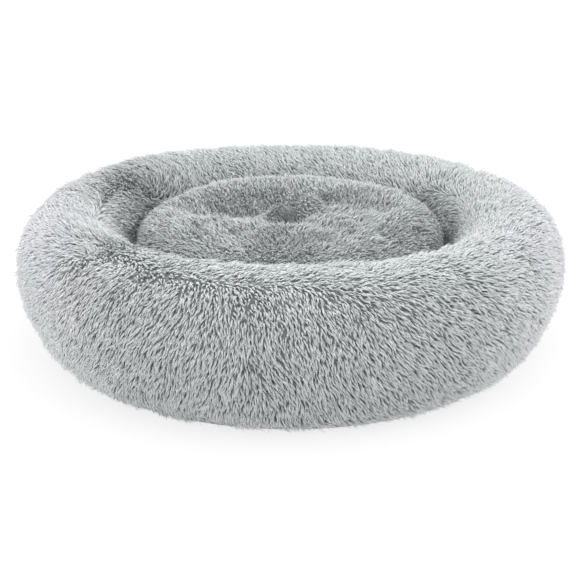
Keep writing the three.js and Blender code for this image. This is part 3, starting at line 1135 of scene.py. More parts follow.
@dataclass
class Bolster(Stuffed):
    """The plump ring: backing skin, liner, filling and fur."""

    body: Body = Body.BED
    prefix: str = "bolster"
    covers: tuple[str, ...] = ("bolster_cover", "bolster_band")
    fill: float = 0.9
    net: float = 11 * MM
    swell: float = 4 * MM
    pile_inset: float = 7 * MM
    widest_height: float = 0.142
    crest_radius: float = 0.378
    throat_gap: float = 8 * MM
    foot_inset: float = 7 * MM
    foot_height: float = 6 * MM
    ledge_height: float = 38 * MM
    ledge_inset: float = 6 * MM
    zip_window: tuple[float, float] = (43.0, 178.0)
    folds: tuple[float, float] = (151.0, 28.0)
    fold_width: float = 0.13
    fold_drop: float = 3 * MM
    fold_bite: float = 10 * MM
    bulges: tuple[Bulge, ...] = (
        Bulge(-32, 0.4, 3 * MM),
        Bulge(200, 0.5, 3 * MM),
        Bulge(152, 0.3, 3 * MM),
        Bulge(25, 0.35, -7 * MM),
    )
    dent: Bulge = Bulge(-96, 0.045, 9 * MM)
    dent_height: float = 0.128
    dent_reach: float = 0.014
    wall_fullness: tuple[float, float] = (1.95, 0.65)
    tube_radius: float = 0.09
    ring_radius: float = 0.36
    inner_radius: float = 0.34
    well_height: float = 0.115
    well_bare: float = 0.03
    fur_foot: float = 9.5 * MM
    fur_floor: float = 1 * MM
    well_spacing: float = 1.7
    sectors: int = 9
    pile: Pile = Pile()

    def in_window(self, theta: np.ndarray) -> np.ndarray:
        """Says which angles round the bed lie over the zip."""
        bend = np.degrees(theta) % 360
        return (bend > self.zip_window[0]) & (bend < self.zip_window[1])

    def fold_depth(self, theta: np.ndarray, width: float) -> np.ndarray:
        """Returns how deep in one of the two folds each angle lies, from 0 to 1."""
        left, right = self.folds
        return smooth_bump(turn_between(theta, left), width) + smooth_bump(turn_between(theta, right), width)

    def section(self, theta: np.ndarray, phi: np.ndarray) -> np.ndarray:
        """Returns points of the skin.

        Args:
            theta: Angles round the bed, in radians.
            phi: Angles round the tube, 0 outwards and a quarter turn up.

        Returns:
            Rows of X, Y and Z.
        """
        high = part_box("bolster_cover")[1]
        inset = self.pile_inset + self.swell
        fold = self.fold_depth(theta, self.fold_width)
        wobble = 3 * MM * np.sin(3 * theta + 0.6) + 2 * MM * np.sin(5 * theta + 2.0)
        outer = high[0] - inset + wobble * 0.5 + sum(bulge.at(theta) for bulge in self.bulges)
        top = high[2] - inset - self.fold_drop * fold + wobble * 0.6
        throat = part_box("cushion_top_cover")[1][0] + self.throat_gap + inset + self.fold_bite * fold
        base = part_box("base_panel")[1][0]
        foot = base - self.foot_inset
        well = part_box("well_binding")[1][0]
        bend = np.degrees(phi)
        down = np.clip(-bend / 80, 0, 1)
        lower_inner = np.clip((bend + 180) / 80, 0, 1) * math.pi / 2
        across = np.clip((bend + 100) / 20, 0, 1)
        widest = self.widest_height
        radius = np.select(
            [bend >= 90, bend >= 0, bend >= -80, bend >= -100],
            [
                self.crest_radius + (self.crest_radius - throat) * np.cos(phi),
                self.crest_radius + (outer - self.crest_radius) * np.cos(phi),
                foot + (outer - foot) * (1 - down ** self.wall_fullness[0]) ** self.wall_fullness[1],
                well + (foot - well) * across,
            ],
            well - (well - throat) * np.cos(lower_inner),
        )
        height = np.select(
            [bend >= 0, bend >= -80, bend >= -100],
            [
                widest + (top - widest) * np.sin(phi),
                widest - (widest - self.foot_height) * down,
                np.full_like(phi, self.foot_height),
            ],
            widest - (widest - self.foot_height) * np.sin(lower_inner),
        )
        ledge = self.in_window(theta) & (height < self.ledge_height) & (bend > -81) & (bend < 0)
        radius = np.where(ledge, base - self.ledge_inset, radius)
        beside = smooth_bump(height - self.dent_height, self.dent_reach) * (bend < 30)
        radius = radius - self.dent.at(theta) * beside
        return np.stack([radius * np.cos(theta), radius * np.sin(theta), height], axis=1)

    def build(self) -> None:
        """Makes the skin: a torus drawn to the bolster's section, then stuffed."""
        deselect()
        bpy.ops.mesh.primitive_torus_add(
            major_segments=144,
            minor_segments=54,
            major_radius=self.ring_radius,
            minor_radius=self.tube_radius,
        )
        skin = bpy.context.object
        points = points_of(skin)
        phi = np.arctan2(points[:, 2], reach_of(points) - self.ring_radius)
        set_points(skin, self.section(turn_of(points), phi))
        self.stuff(skin)

    def held(self, points: np.ndarray) -> np.ndarray:
        """Returns how firmly each point of the cloth is held: at the foot and in the two folds."""
        theta = turn_of(points)
        foot = (points[:, 2] < self.foot_height + 12 * MM).astype(float)
        ledge = self.in_window(theta) & (points[:, 2] < self.ledge_height + 4 * MM)
        return np.clip(self.fold_depth(theta, 0.035) * 0.8 + foot + ledge, 0, 1)

    def base_lay(self, points: np.ndarray, normals: np.ndarray) -> np.ndarray:
        """Returns the way the pile falls: round the crest, down the outer wall and the inner one.

        At the back the pile of the inner wall is brushed up and to the left instead.
        """
        theta = turn_of(points)
        bend = np.degrees(theta)
        radius = reach_of(points)
        outwards = np.stack([np.cos(theta), np.sin(theta), np.zeros_like(theta)], axis=1)
        round_bed = np.stack([-np.sin(theta), np.cos(theta), np.zeros_like(theta)], axis=1)
        down = np.array([0.0, 0.0, -1.0])

        knots = [-180, -150, -125, -100, -90, -75, -50, -20, 20, 60, 120, 160, 180]
        sideways = [-0.5, -0.8, -0.35, 0.0, 0.15, 0.75, 1.25, 0.9, 0.3, -0.2, 0.2, -0.3, -0.5]
        drift = np.interp(bend, knots, sideways)
        outer_wall = down + outwards * 0.15 + round_bed * drift[:, None]

        along = np.interp(bend, knots, [-0.2, -0.3, 0.7, 1.0, 1.0, 1.0, 0.8, 0.5, 0.4, 0.8, 0.8, 0.5, -0.2])
        off = np.interp(bend, knots, [0.8, 0.7, 0.2, -0.1, -0.05, 0.1, 0.6, 0.9, 0.8, 0.55, 0.55, 0.4, 0.8])
        crest = round_bed * along[:, None] + outwards * off[:, None]

        back = np.clip((70 - np.abs(bend - 90)) / 30, 0, 1)[:, None]
        inner_front = down + np.array([0.5, 0.0, 0.0]) - outwards * 0.1
        inner_back = np.array([-0.75, 0.0, 1.0]) + outwards * 0.3
        inner_wall = inner_front * (1 - back) + inner_back * back

        parting = self.crest_radius + 0.027
        edge = np.interp(bend, [-180, -125, -105, -85, -70, -50], [0.03, 0.03, 0.010, 0.008, 0.012, 0.03])
        to_outer = 1 / (1 + np.exp(-np.clip((radius - parting) / edge * 2, -30, 30)))
        to_inner = 1 / (1 + np.exp(-np.clip((self.crest_radius - 0.055 - radius) / 0.008, -30, 30)))
        lay = crest * (1 - to_outer - to_inner).clip(0, 1)[:, None]
        return lay + outer_wall * to_outer[:, None] + inner_wall * to_inner[:, None]

    def combing(self) -> Combing:
        """Returns how the bolster's pile was stroked."""
        return Combing(
            base=self.base_lay,
            strokes=(
                Stroke((-0.022, -0.44, 0.118), 0.030, (0.9, 0.0, -0.35), 1.5),
                Stroke((-0.068, -0.43, 0.130), 0.018, (-0.3, 0.0, -1.0), 1.0),
                Stroke((0.33, 0.02, 0.23), 0.07, (0.9, 0.7, 0.0), 0.7),
            ),
            whorls=(
                Whorl((-0.213, -0.350, 0.215), 0.030, 0.6, 0.2, 0.5),
                Whorl((-0.300, -0.275, 0.215), 0.035, 0.7, 0.7, 0.8),
                Whorl((-0.255, 0.150, 0.190), 0.045, 0.8, 0.4, 0.9),
            ),
            upright=(
                ((-0.320, -0.190, 0.226), 0.060, 34.0),
                ((-0.060, -0.402, 0.222), 0.022, 16.0),
                ((-0.205, -0.345, 0.220), 0.030, 12.0),
                ((-0.250, 0.170, 0.190), 0.070, 26.0),
            ),
            # Drawn-in places and painted shade: the pile is darkened at the front dimples and over stretches
            # of the left of the crest, where shade falls.
            pinches_and_shade=(
                PinchShade((-0.050, -0.440, 0.130), 0.010, 0.5, 0.6),
                PinchShade((-0.036, -0.440, 0.122), 0.008, 0.3, 0.4),
                PinchShade((-0.062, -0.396, 0.224), 0.010, 0.2, 0.9),
                PinchShade((-0.030, -0.405, 0.222), 0.008, 0.0, 0.5),
                PinchShade((-0.314, -0.190, 0.227), 0.030, 0.0, 0.55),
                PinchShade((-0.301, -0.270, 0.219), 0.030, 0.0, 0.45),
                PinchShade((-0.290, 0.120, 0.210), 0.055, 0.0, 0.7),
                PinchShade((-0.350, 0.040, 0.235), 0.070, 0.0, 0.5),
                PinchShade((-0.330, 0.190, 0.230), 0.120, 0.0, 0.75),
            ),
            lift=29.0,
        )

    def grow(self) -> None:
        """Grows the fur, sews it in sectors and dresses them."""
        coat = Coat(self.skin, self.combing(), self.pile, 11)
        locks = coat.grow(((1.0, self.in_sight), (self.well_spacing, self.in_well)))
        locks.shapes[:, :, 2] = np.maximum(locks.shapes[:, :, 2], self.fur_floor)
        turns = np.arctan2(locks.shapes[:, 0, 1], locks.shapes[:, 0, 0]) / (2 * math.pi) % 1.0
        sector = np.floor(turns * self.sectors)
        for index in range(self.sectors):
            piece = sew_locks(f"bolster_fur_{index + 1}", locks.part(sector == index))
            dress(piece, FUR, Body.BED)

    def in_well(self, points: np.ndarray) -> np.ndarray:
        """Says which points of the skin are low in the well, beside the cushion."""
        radius = reach_of(points)
        lining = (points[:, 2] < self.well_height) & (points[:, 2] > self.well_bare)
        return (radius < self.inner_radius) & lining

    def in_sight(self, points: np.ndarray) -> np.ndarray:
        """Says which points of the skin carry the full pile."""
        radius = reach_of(points)
        theta = turn_of(points)
        over_zip = self.in_window(theta) & (points[:, 2] < self.ledge_height + 3 * MM)
        in_well = (radius < self.inner_radius) & (points[:, 2] < self.well_height)
        return ~((points[:, 2] < self.fur_foot) | over_zip | in_well)


# ---------- Cushion ----------

@dataclass(frozen=True)
class Hill:
    """An oval rise of the cushion's crown, or a hollow where its height, in mm, is below 0."""

    x: float
    y: float
    length: float
    width: float
    height: float
    turn: float = 0.0

    def at(self, x: np.ndarray, y: np.ndarray) -> np.ndarray:
        """Returns the rise at places on the crown, in metres."""
        angle = math.radians(self.turn)
        along = (x - self.x) * math.cos(angle) + (y - self.y) * math.sin(angle)
        across = -(x - self.x) * math.sin(angle) + (y - self.y) * math.cos(angle)
        return self.height * MM * np.exp(-((along / self.length) ** 2) - (across / self.width) ** 2)


@dataclass
class Cushion(Stuffed):
    """The lift-out centre cushion with its tuft."""

    body: Body = Body.CUSHION
    prefix: str = "cushion"
    covers: tuple[str, ...] = ("cushion_top_cover",)
    fill: float = 0.75
    net: float = 7.5 * MM
    swell: float = 5 * MM
    pile_inset: float = 6 * MM
    widest_height: float = 0.112
    roll_power: float = 6.0
    bottom: float = 11 * MM
    band_top: float = 45 * MM
    bulges: tuple[Bulge, ...] = (Bulge(215, 0.35, 0.014), Bulge(-33, 0.3, 0.010))
    roll_radius: float = 0.220
    roll_width: float = 0.048
    side_height: float = 0.120
    side_spacing: float = 1.2
    under_dimple: float = 6 * MM
    under_dimple_width: float = 24 * MM
    tuft: tuple[float, float] = (-7 * MM, -11 * MM)
    pile: Pile = field(default_factory=lambda: Pile(15 * MM, 1.6 * MM, 3.55 * MM, tousle=0.42))

    def hills(self) -> tuple[Hill, ...]:
        """Returns the crown's rises and hollows: tuft, basin behind it, ridge between them and folds."""
        x, y = self.tuft
        return (
            Hill(x, y, 0.017, 0.016, -24),
            Hill(x, y - 0.026, 0.022, 0.024, -10),
            Hill(0.076, 0.040, 0.013, 0.018, -8),
            Hill(-0.062, 0.074, 0.095, 0.060, -36, 14),
            Hill(0.040, 0.115, 0.060, 0.040, -16),
            Hill(0.034, 0.038, 0.023, 0.015, 37, 18),
            Hill(-0.014, 0.021, 0.034, 0.012, 31, 14),
            Hill(0.165, 0.030, 0.055, 0.030, -8, -10),
            Hill(-0.137, 0.032, 0.040, 0.010, -12, 4),
            Hill(0.135, 0.120, 0.060, 0.030, 6, -30),
            Hill(0.050, -0.050, 0.014, 0.050, -7, 35),
            Hill(-0.060, -0.070, 0.013, 0.055, -6, -35),
            Hill(-0.015, -0.065, 0.045, 0.028, 6),
            Hill(-0.130, -0.020, 0.050, 0.022, 6),
            Hill(0.000, -0.130, 0.160, 0.050, -3),
        )

    def relief(self, x: np.ndarray, y: np.ndarray) -> np.ndarray:
        """Returns how far the crown stands above or below its plain shape."""
        return sum((hill.at(x, y) for hill in self.hills()), self.roll(x, y))

    def roll(self, x: np.ndarray, y: np.ndarray) -> np.ndarray:
        """Returns the height of the thick roll round the edge, fullest at the back."""
        theta = np.arctan2(y, x)
        knots = [-180, -90, -30, 0, 45, 90, 135, 180]
        full = np.interp(np.degrees(theta), knots, [15, 0, 6, 16, 20, 21, 21, 15])
        return full * MM * smooth_bump(np.hypot(x, y) - self.roll_radius, self.roll_width)

    def shape(self, points: np.ndarray) -> np.ndarray:
        """Returns the cushion's skin from the points of a unit sphere."""
        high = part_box("cushion_top_cover")[1]
        inset = self.pile_inset + self.swell
        radius = high[0] - inset
        top = high[2] - inset
        flat = reach_of(points)
        theta = turn_of(points)
        polar = np.arctan2(flat, points[:, 2])
        upper = points[:, 2] >= 0
        power = 2 / self.roll_power
        quarter = math.pi / 2
        polar = np.where(upper, quarter * (polar / quarter) ** (1 / power), polar)
        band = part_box("cushion_band")[1][0] - 3 * MM
        turn = np.clip(polar / (math.pi / 2) - 1, 0, 1)
        profile = (
            (0, radius, self.widest_height),
            (0.10, radius, 0.096),
            (0.20, radius - 2 * MM, 0.080),
            (0.30, radius - 5 * MM, 0.062),
            (0.40, band, self.band_top),
            (0.50, band, 0.022),
            (0.57, band - 3 * MM, 0.015),
            (0.62, band - 11 * MM, self.bottom),
            (1, 0, self.bottom),
        )
        under, radii, heights = zip(*profile)
        across = np.where(upper, radius * np.sin(polar) ** power, np.interp(turn, under, radii))
        wave = 1 + 0.008 * np.sin(4 * theta + 0.8) + 0.006 * np.sin(7 * theta)
        wave = wave + sum(bulge.at(theta) for bulge in self.bulges)
        across = across * np.where(turn < 0.3, wave, 1)
        x = across * np.cos(theta)
        y = across * np.sin(theta)
        rise = top - self.widest_height
        crown = self.widest_height + rise * np.abs(np.cos(polar)) ** power
        rim = np.clip((crown - self.widest_height) / (0.4 * rise), 0, 1)
        below = np.interp(turn, under, heights) + self.under_relief(x, y)
        height = np.where(upper, crown + self.relief(x, y) * rim, below)
        return np.stack([x, y, height], axis=1)

    def under_relief(self, x: np.ndarray, y: np.ndarray) -> np.ndarray:
        """Returns how far the lower button pulls the underside up."""
        return self.under_dimple * smooth_bump(np.hypot(x, y), self.under_dimple_width)

    def build(self) -> None:
        """Makes the skin: a sphere drawn to the cushion's shape, then stuffed."""
        deselect()
        bpy.ops.mesh.primitive_uv_sphere_add(segments=144, ring_count=96, radius=1)
        skin = bpy.context.object
        set_points(skin, self.shape(points_of(skin)))
        self.stuff(skin)

    def held(self, points: np.ndarray) -> np.ndarray:
        """Returns how firmly each point of the cloth is held: by the tuft, its folds and the underside."""
        radius = reach_of(points)
        tuft = smooth_bump(radius, 0.022)
        fold = np.clip(-self.relief(points[:, 0], points[:, 1]) / (10 * MM), 0, 1) * 0.5
        under = (points[:, 2] < self.band_top + 8 * MM).astype(float)
        return np.clip(tuft + fold + under, 0, 1)

    def base_lay(self, points: np.ndarray, normals: np.ndarray) -> np.ndarray:
        """Returns the way the pile falls: left on the left side, right and forwards on the right."""
        across = np.clip(points[:, 0] / 0.12, -1, 1)
        comb = np.stack([across * 1.1 + 0.15, -0.45 - 0.25 * across, np.zeros_like(across)], axis=1)
        back = np.clip((points[:, 1] - 0.12) / 0.06, 0, 1)[:, None]
        steep = np.clip(1 - normals[:, 2], 0, 1)[:, None]
        return comb * (1 - back) + back * np.array([-0.4, 0.5, 0.0]) + steep * np.array([0.0, 0.0, -1.2])

    def combing(self) -> Combing:
        """Returns how the cushion's pile was stroked."""
        return Combing(
            base=self.base_lay,
            strokes=(
                Stroke((-0.150, 0.020, 0.190), 0.045, (-1.0, -0.1, 0.0), 1.0),
                Stroke((0.080, -0.030, 0.190), 0.040, (0.7, -0.8, 0.0), 1.0),
                Stroke((0.180, -0.010, 0.190), 0.050, (1.0, -0.3, 0.0), 0.8),
                Stroke((-0.003, 0.020, 0.195), 0.022, (0.0, -0.7, -0.7), 1.5),
            ),
            whorls=(
                Whorl((0.060, 0.075, 0.200), 0.030, 0.8, 0.5, 0.8),
                Whorl((-0.060, -0.060, 0.190), 0.030, 0.8, 0.4, 0.8),
                Whorl((0.020, -0.100, 0.190), 0.030, -0.8, 0.5, 0.8),
            ),
            lift=54.0,
            stray=42.0,
            upright=(
                ((-0.040, 0.110, 0.170), 0.085, 38.0),
                ((0.000, -0.100, 0.185), 0.060, 18.0),
                ((0.130, 0.120, 0.195), 0.060, 20.0),
                ((0.000, 0.210, 0.200), 0.080, 14.0),
            ),
            # Drawn-in places and painted shade: near-black in the tuft's hollow, and darkened in the folds
            # and over broad stretches of the front.
            pinches_and_shade=(
                PinchShade((*self.tuft, 0), 0.013, 0.3, 2.0, True),
                PinchShade((self.tuft[0], self.tuft[1] + 0.010, 0), 0.020, 0.4, 6.0, True),
                PinchShade((self.tuft[0] + 0.002, self.tuft[1] - 0.020, 0), 0.018, 0.6, 0.6, True),
                PinchShade((self.tuft[0], self.tuft[1] + 0.030, 0), 0.012, 0.35, 0.0, True),
                PinchShade((0.040, -0.080, 0), 0.130, 0.0, 0.3, True),
                PinchShade((-0.090, -0.080, 0), 0.110, 0.0, 0.2, True),
                PinchShade((-0.135, 0.028, 0), 0.009, 0.6, 1.0, True),
                PinchShade((-0.160, 0.022, 0), 0.012, 0.2, 0.6, True),
                PinchShade((0.075, -0.030, 0), 0.016, 0.0, 0.5, True),
                PinchShade((0.100, -0.065, 0), 0.018, 0.0, 0.45, True),
                PinchShade((0.055, 0.100, 0), 0.024, 0.0, 0.4, True),
                PinchShade((-0.070, 0.090, 0), 0.060, 0.0, 0.3, True),
            ),
            # Painted light on the top and the sides, and painted shade low on the wall.
            painted_light_top=0.26,
            painted_light_sides=0.26,
            painted_shade_low=0.1,
            seed=31,
        )

    def grow(self) -> None:
        """Grows the fur and sews it in quarters."""
        coat = Coat(self.skin, self.combing(), self.pile, 23)
        locks = coat.grow(
            (
                (1.0, lambda points: points[:, 2] > self.side_height),
                (self.side_spacing, self.on_side),
            )
        )
        left = locks.shapes[:, 0, 0] < 0
        front = locks.shapes[:, 0, 1] < 0
        for name, chosen in (
            ("front_left", front & left),
            ("front_right", front & ~left),
            ("back_left", ~front & left),
            ("back_right", ~front & ~left),
        ):
            piece = sew_locks(f"cushion_fur_{name}", locks.part(chosen))
            dress(piece, FUR, Body.CUSHION)

    def on_side(self, points: np.ndarray) -> np.ndarray:
        """Says which points of the skin are on the side wall, above the plain band."""
        return (points[:, 2] <= self.side_height) & (points[:, 2] > self.band_top + 3 * MM)

    def tuft_depth(self) -> float:
        """Returns the height of the skin at the bottom of the tuft."""
        points = points_of(self.skin)
        near = np.hypot(points[:, 0] - self.tuft[0], points[:, 1] - self.tuft[1]) < 9 * MM
        return float(points[near & (points[:, 2] > self.widest_height)][:, 2].min())


# ---------- Base and well floor ----------

@dataclass
class Base:
    """What the bed stands on: coated cloth with grip dots, its binding, the well's pad and floor."""

    panel_bottom: float = 0.5 * MM
    dot_spacing: float = 16 * MM
    dot_radius: float = 2.2 * MM
    dot_margin: float = 14 * MM
    stitch_margin: float = 5 * MM
    tape_gap: float = 0.3 * MM
    welt_lap: float = 1.2 * MM
    welt_inner: float = 5 * MM
    welt_outer: float = 1.4 * MM

    def build(self) -> None:
        """Makes every piece of the base."""
        self.panel()
        self.dots()
        self.bindings()
        self.well_floor()

    def panel(self) -> None:
        """Makes the round cloth of the underside."""
        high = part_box("base_panel")[1]
        panel = round_sheet("base_cloth_panel", high[0], self.panel_bottom, high[2])
        dress(panel, BASE_CLOTH, Body.BED)
        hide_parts("base_panel")

    def dots(self) -> None:
        """Sets raised grip dots all over the underside, in staggered rows."""
        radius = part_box("base_panel")[1][0] - self.dot_margin
        row_pitch = self.dot_spacing * math.sqrt(0.75)
        rows = round(radius / row_pitch)
        places = []
        for row in range(-rows, rows + 1):
            y = row * row_pitch
            for column in range(-rows - 1, rows + 2):
                x = (column + row % 2 / 2) * self.dot_spacing
                if math.hypot(x, y) < radius:
                    places.append((x, y, self.panel_bottom))
        axes = np.tile(np.eye(3), (len(places), 1, 1))
        dot = bead(2 * self.dot_radius, 2 * self.dot_radius, 2 * self.panel_bottom, 6, 3)
        dots = copies(dot, "base_grip_dots", np.array(places), axes)
        dress(dots, GRIP, Body.BED)

    def bindings(self) -> None:
        """Makes the tapes round the base and the well's floor, the welt over the base and the stitches."""
        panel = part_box("base_panel")[1]
        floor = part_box("floor_panel")[1]
        for node, inner, name in (
            ("base_binding", panel[0] + self.tape_gap, "base_edge_tape"),
            ("well_binding", floor[0] + self.tape_gap, "well_edge_tape"),
        ):
            low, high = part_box(node)
            tape = spun(name, soft_edged(inner, high[0], low[2], high[2]), 0, FULL_TURN, COARSE_STEP)
            dress(tape, BINDING, Body.BED)
            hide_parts(node)
        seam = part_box("bolster_cover")[0][2] + self.welt_lap
        outline = soft_edged(panel[0] - self.welt_inner, panel[0] - self.welt_outer, panel[2], seam)
        dress(spun("base_seam_welt", outline, 0, FULL_TURN, COARSE_STEP), BINDING, Body.BED)
        rows = [
            (panel[0] - self.stitch_margin, self.panel_bottom, 0, FULL_TURN),
            (floor[0] - self.stitch_margin, floor[2], 0, FULL_TURN),
        ]
        stitches("base_stitches", rows, Body.BED)

    def well_floor(self) -> None:
        """Makes the foam pad and the cloth floor of the well."""
        low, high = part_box("base_pad")
        pad = round_sheet("well_foam_pad", high[0], low[2], high[2], edge_power=30.0)
        dress(pad, FOAM, Body.BED)
        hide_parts("base_pad")
        low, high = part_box("floor_panel")
        floor = round_sheet("well_floor_cloth", high[0], low[2], high[2])
        dress(floor, FLOOR_CLOTH, Body.BED)
        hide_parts("floor_panel")


# ---------- Zips ----------

@dataclass
class Zip:
    """One coil zip on its two tapes, with its rows of stitches."""

    body: Body
    pitch: float = 2.5 * MM
    tooth: Place = (1.5 * MM, 1.4 * MM, 2.9 * MM)
    gap: float = 0.3 * MM
    thickness: float = 0.6 * MM
    ends: float = 1.0
    stitch_edge: float = 2.8 * MM
    stitch_middle: float = 4.2 * MM
    mesh_share: float = 0.45

    def build(self) -> None:
        """Makes the tapes, the teeth and the stitches."""
        owner = self.body.value
        lower, upper = (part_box(f"{owner}_zip_tape_{side}") for side in ("lower", "upper"))
        outer = upper[1][1]
        start = math.degrees(math.acos(upper[1][0] / outer))
        end = math.degrees(math.acos(upper[0][0] / outer))
        middle = (lower[1][2] + upper[0][2]) / 2
        rows = []
        for side, box in (("lower", lower), ("upper", upper)):
            low, high = box[0][2], box[1][2]
            outline = tape_outline(outer - self.thickness, outer, low, high)
            tape = spun(f"{owner}_tape_{side}", outline, start, end, FINE_STEP)
            dress(tape, ZIP_TAPE, self.body)
            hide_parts(f"{owner}_zip_tape_{side}")
            away = 1 if side == "upper" else -1
            edge = high if side == "upper" else low
            first = start + self.ends
            last = end - self.ends
            face = outer + STITCH_PROUD
            rows.append((face, edge - away * self.stitch_edge, start, end))
            rows.append((face, middle + away * self.stitch_middle, first, last))
            self.teeth(side, away, outer, middle, first, last)
        stitches(f"{owner}_zip_stitches", rows, self.body)

    def teeth(self, side: str, away: int, outer: float, middle: float, start: float, end: float) -> None:
        """Makes one side's teeth, half a pitch out of step with the other side's.

        Args:
            side: The tape that they belong to, lower or upper.
            away: The way from the zip's middle to that tape, -1 down and 1 up.
            outer: The tape's outer radius.
            middle: The height of the zip's middle.
            start: The angle of the first tooth, in degrees.
            end: The angle of the last one.
        """
        radius = outer + self.gap + self.tooth[1] / 2
        shift = math.degrees(away * self.pitch / 4 / radius)
        height = middle + away * self.tooth[2] * self.mesh_share
        row = (radius, height, start + 0.1 + shift, end - 0.1 + shift)
        places, axes = round_rows([row], self.pitch)
        piece = copies(bead(*self.tooth), f"{self.body.value}_teeth_{side}", places, axes)
        dress(piece, COIL, self.body)
        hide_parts(f"{self.body.value}_zip_coil_{side}")


@dataclass
class BackTrim:
    """What lies beside the bed's zip: its end plackets and the blank care label."""

    thickness: float = 0.6 * MM
    left_end: float = 178.5
    right_start: float = 42.0
    label_curl: float = 4 * MM
    label_steps: int = 8

    def build(self) -> None:
        """Makes the plackets and the label."""
        low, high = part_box("bed_zip_tape_lower")[0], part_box("bed_zip_tape_upper")[1]
        outer = high[1]
        start = math.degrees(math.acos(high[0] / outer))
        end = math.degrees(math.acos(low[0] / outer))
        outline = tape_outline(outer - self.thickness, outer, low[2], high[2])
        for name, first, last in (
            ("bed_placket_left", end + 0.1, self.left_end),
            ("bed_placket_right", self.right_start, start - 0.1),
        ):
            placket = spun(name, outline, first, last, FINE_STEP)
            dress(placket, ZIP_TAPE, Body.BED)
        self.label()

    def label(self) -> None:
        """Makes the care label, sewn on along its top and curling away at the bottom."""
        low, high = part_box("care_label")
        middle = math.degrees(math.atan2((low[1] + high[1]) / 2, (low[0] + high[0]) / 2))
        radius = math.hypot((low[0] + high[0]) / 2, (low[1] + high[1]) / 2)
        half = math.degrees((high[1] - low[1]) / 2 / radius)
        front = []
        back = []
        for step in range(self.label_steps + 1):
            share = step / self.label_steps
            curl = self.label_curl * (1 - share) ** 2
            height = low[2] + (high[2] - low[2]) * share
            front.append((radius + 0.25 * MM + curl, height))
            back.append((radius - 0.15 * MM + curl, height))
        label = spun("bed_care_label", front + back[::-1], middle - half, middle + half, half / 5)
        dress(label, LABEL, Body.BED)
        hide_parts("care_label")
        row = (radius + 0.4 * MM, high[2] - 2 * MM, middle - half * 0.95, middle + half * 0.95)
        stitches("bed_label_stitches", [row], Body.BED)


# ---------- Cushion's underside and tuft ----------

@dataclass
class Underside:
    """The cushion's smooth lower cloth, its side band, its buttons and the thread between them."""

    cushion: Cushion
    cloth: float = 1.2 * MM
    rim_start: float = 0.226
    rim_rise: float = 8 * MM
    button_radius: float = 8 * MM
    button_depth: float = 3.2 * MM
    button_crown: float = 1.2 * MM
    thread_radius: float = 1.1 * MM
    stitch_edge: float = 3 * MM

    def build(self) -> None:
        """Makes every piece of the underside and the tuft."""
        self.bottom_cloth()
        self.band()
        self.buttons()

    def bottom_cloth(self) -> None:
        """Makes the round lower cloth, drawn up at its middle and turned up at its rim."""
        low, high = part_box("cushion_bottom_cover")
        radius = high[0] - 0.6 * MM

        def relief(x: np.ndarray, y: np.ndarray) -> np.ndarray:
            """Returns how much higher than the flat stretch the cloth lies."""
            rim = np.clip((np.hypot(x, y) - self.rim_start) / (radius - self.rim_start), 0, 1)
            return self.cushion.under_relief(x, y) + self.rim_rise * rim**2

        cloth = round_sheet("cushion_lower_cloth", radius, low[2], low[2] + self.cloth, relief)
        dress(cloth, FLOOR_CLOTH, Body.CUSHION)
        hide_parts("cushion_bottom_cover")

    def band(self) -> None:
        """Makes the low side band, from one end of the zip round the front to the other."""
        low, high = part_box("cushion_band")
        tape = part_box("cushion_zip_tape_upper")
        start = math.degrees(math.acos(tape[0][0] / tape[1][1])) + 0.2
        end = math.degrees(math.acos(tape[1][0] / tape[1][1])) + FULL_TURN - 0.2
        outline = tape_outline(high[0] - self.cloth, high[0], low[2], high[2])
        band = spun("cushion_side_band", outline, start, end, COARSE_STEP)
        dress(band, FLOOR_CLOTH, Body.CUSHION)
        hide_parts("cushion_band")
        face = high[0] + STITCH_PROUD
        heights = (low[2] + self.stitch_edge, high[2] - self.stitch_edge)
        rows = [(face, height, start, end) for height in heights]
        stitches("cushion_band_stitches", rows, Body.CUSHION)

    def buttons(self) -> None:
        """Makes the covered upper button, the plastic lower one and the thread that joins them."""
        x, y = self.cushion.tuft
        floor = self.cushion.tuft_depth()
        upper = round_sheet(
            "tuft_covered_button", self.button_radius, floor, floor + self.button_depth,
            lambda u, v: self.button_crown * (1 - (np.hypot(u, v) / self.button_radius) ** 2), 32, 16, 4.0,
        )
        set_points(upper, points_of(upper) + np.array([x, y, 0]))
        dress(upper, BACKING, Body.CUSHION)
        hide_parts("tuft_button_top")
        low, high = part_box("tuft_button_bottom")
        lower = round_sheet(
            "tuft_lower_button", high[0], low[2], high[2],
            lambda u, v: 0.9 * MM * smooth_bump(np.hypot(u, v), 0.5 * high[0]), 40, 20, 5.0,
        )
        dress(lower, COIL, Body.CUSHION)
        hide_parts("tuft_button_bottom")
        deselect()
        length = floor - high[2]
        bpy.ops.mesh.primitive_cylinder_add(vertices=12, radius=self.thread_radius, depth=length)
        thread = bpy.context.object
        thread.name = "tuft_pull_thread"
        bpy.ops.object.mode_set(mode="EDIT")
        bpy.ops.mesh.bevel(offset=0.3 * MM, segments=2)
        bpy.ops.object.mode_set(mode="OBJECT")
        points = points_of(thread)
        share = (points[:, 2] / length + 0.5)[:, None]
        set_points(thread, points + share * np.array([x, y, 0]) + np.array([0, 0, high[2] + length / 2]))
        dress(thread, THREAD, Body.CUSHION)
        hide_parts("tuft_thread")


# ---------- Carried-over pieces ----------

def dress_hardware() -> None:
    """Gives the zips' metal pieces, which are kept as they are, their material."""
    for owner in ("bed", "cushion"):
        for part in ("stop_open", "stop_closed", "slider", "pull"):
            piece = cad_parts[f"{owner}_zip_{part}"]
            piece.data.materials.clear()
            piece.data.materials.append(METAL)


# ---------- Studio ----------

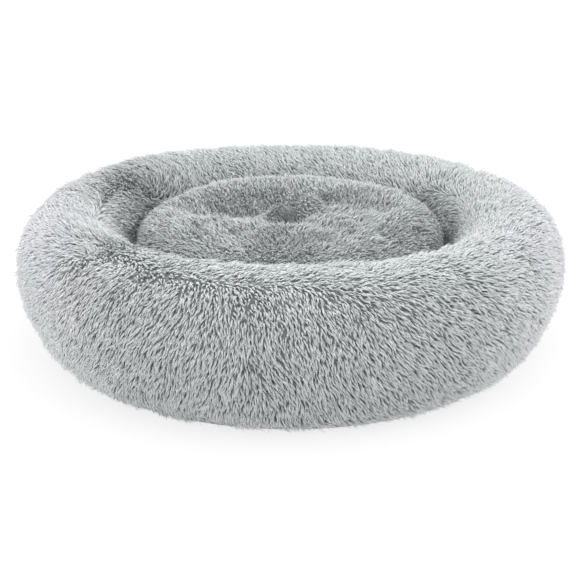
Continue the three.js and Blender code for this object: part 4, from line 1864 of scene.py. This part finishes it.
@dataclass
class Studio:
    """The pale floor, the soft lights and the camera."""

    distance: float = 1.8
    elevation: float = 19.6
    focus_height: float = 0.1
    look_at: Place = (0.003, -0.0112, 0.0650)
    lens: float = 63.8
    floor_size: float = 60.0
    floor_colour: Colour = (0.22, 0.22, 0.22)
    floor_glow: float = 0.76
    sky_strength: float = 0.66

    def build(self) -> None:
        """Makes the floor, the lights and the camera."""
        self.floor()
        self.lights()
        self.camera()

    def floor(self) -> None:
        """Lays a plain pale floor at the height that the bed stands on."""
        deselect()
        bpy.ops.mesh.primitive_plane_add(size=self.floor_size, location=(0, 0, 0))
        floor = bpy.context.object
        floor.name = "floor"
        graph = Graph("pale_floor")
        white = graph.finish(
            base_color=self.floor_colour,
            roughness=0.9,
            emission_color=(1.0, 1.0, 1.0),
            emission_strength=self.floor_glow,
        )
        floor.data.materials.append(white)

    def lights(self) -> None:
        """Hangs a wide soft light overhead and one on each side."""
        world = bpy.data.worlds.new("studio")
        world.use_nodes = True
        background = world.node_tree.nodes["Background"]
        background.inputs["Color"].default_value = (1.0, 1.0, 1.0, 1.0)
        background.inputs["Strength"].default_value = self.sky_strength
        bpy.context.scene.world = world
        for name, direction, strength, width in (
            ("overhead", (0.0, -0.12, 1.0), 1.5, 70),
            ("left_side", (-1.0, -0.4, 0.08), 1.35, 50),
            ("right_side", (1.0, -0.1, 0.5), 1.0, 60),
        ):
            lamp = bpy.data.lights.new(name, "SUN")
            lamp.energy = strength
            lamp.angle = math.radians(width)
            holder = bpy.data.objects.new(name, lamp)
            holder.rotation_euler = Vector(direction).to_track_quat("Z", "Y").to_euler()
            bpy.context.collection.objects.link(holder)

    def camera(self) -> None:
        """Stands the camera in front of the bed."""
        tilt = math.radians(self.elevation)
        place = Vector((0, -math.cos(tilt), math.sin(tilt))) * self.distance
        place.z += self.focus_height
        lens = bpy.data.cameras.new("camera")
        lens.lens = self.lens
        lens.sensor_width = 36
        camera = bpy.data.objects.new("camera", lens)
        camera.location = place
        camera.rotation_euler = (place - Vector(self.look_at)).to_track_quat("Z", "Y").to_euler()
        bpy.context.collection.objects.link(camera)
        bpy.context.scene.camera = camera
        bpy.context.scene.view_settings.view_transform = "Standard"


def main() -> None:
    """Builds the studio and every sub-assembly in order."""
    logging.basicConfig(level=logging.INFO, format="%(message)s")
    Studio().build()
    bolster = Bolster()
    cushion = Cushion()
    for stuffed in (bolster, cushion):
        stuffed.build()
        stuffed.dress()
    for sewn in (Base(), Zip(Body.BED), Zip(Body.CUSHION), BackTrim(), Underside(cushion)):
        sewn.build()
    dress_hardware()


if __name__ == "__main__":
    main()
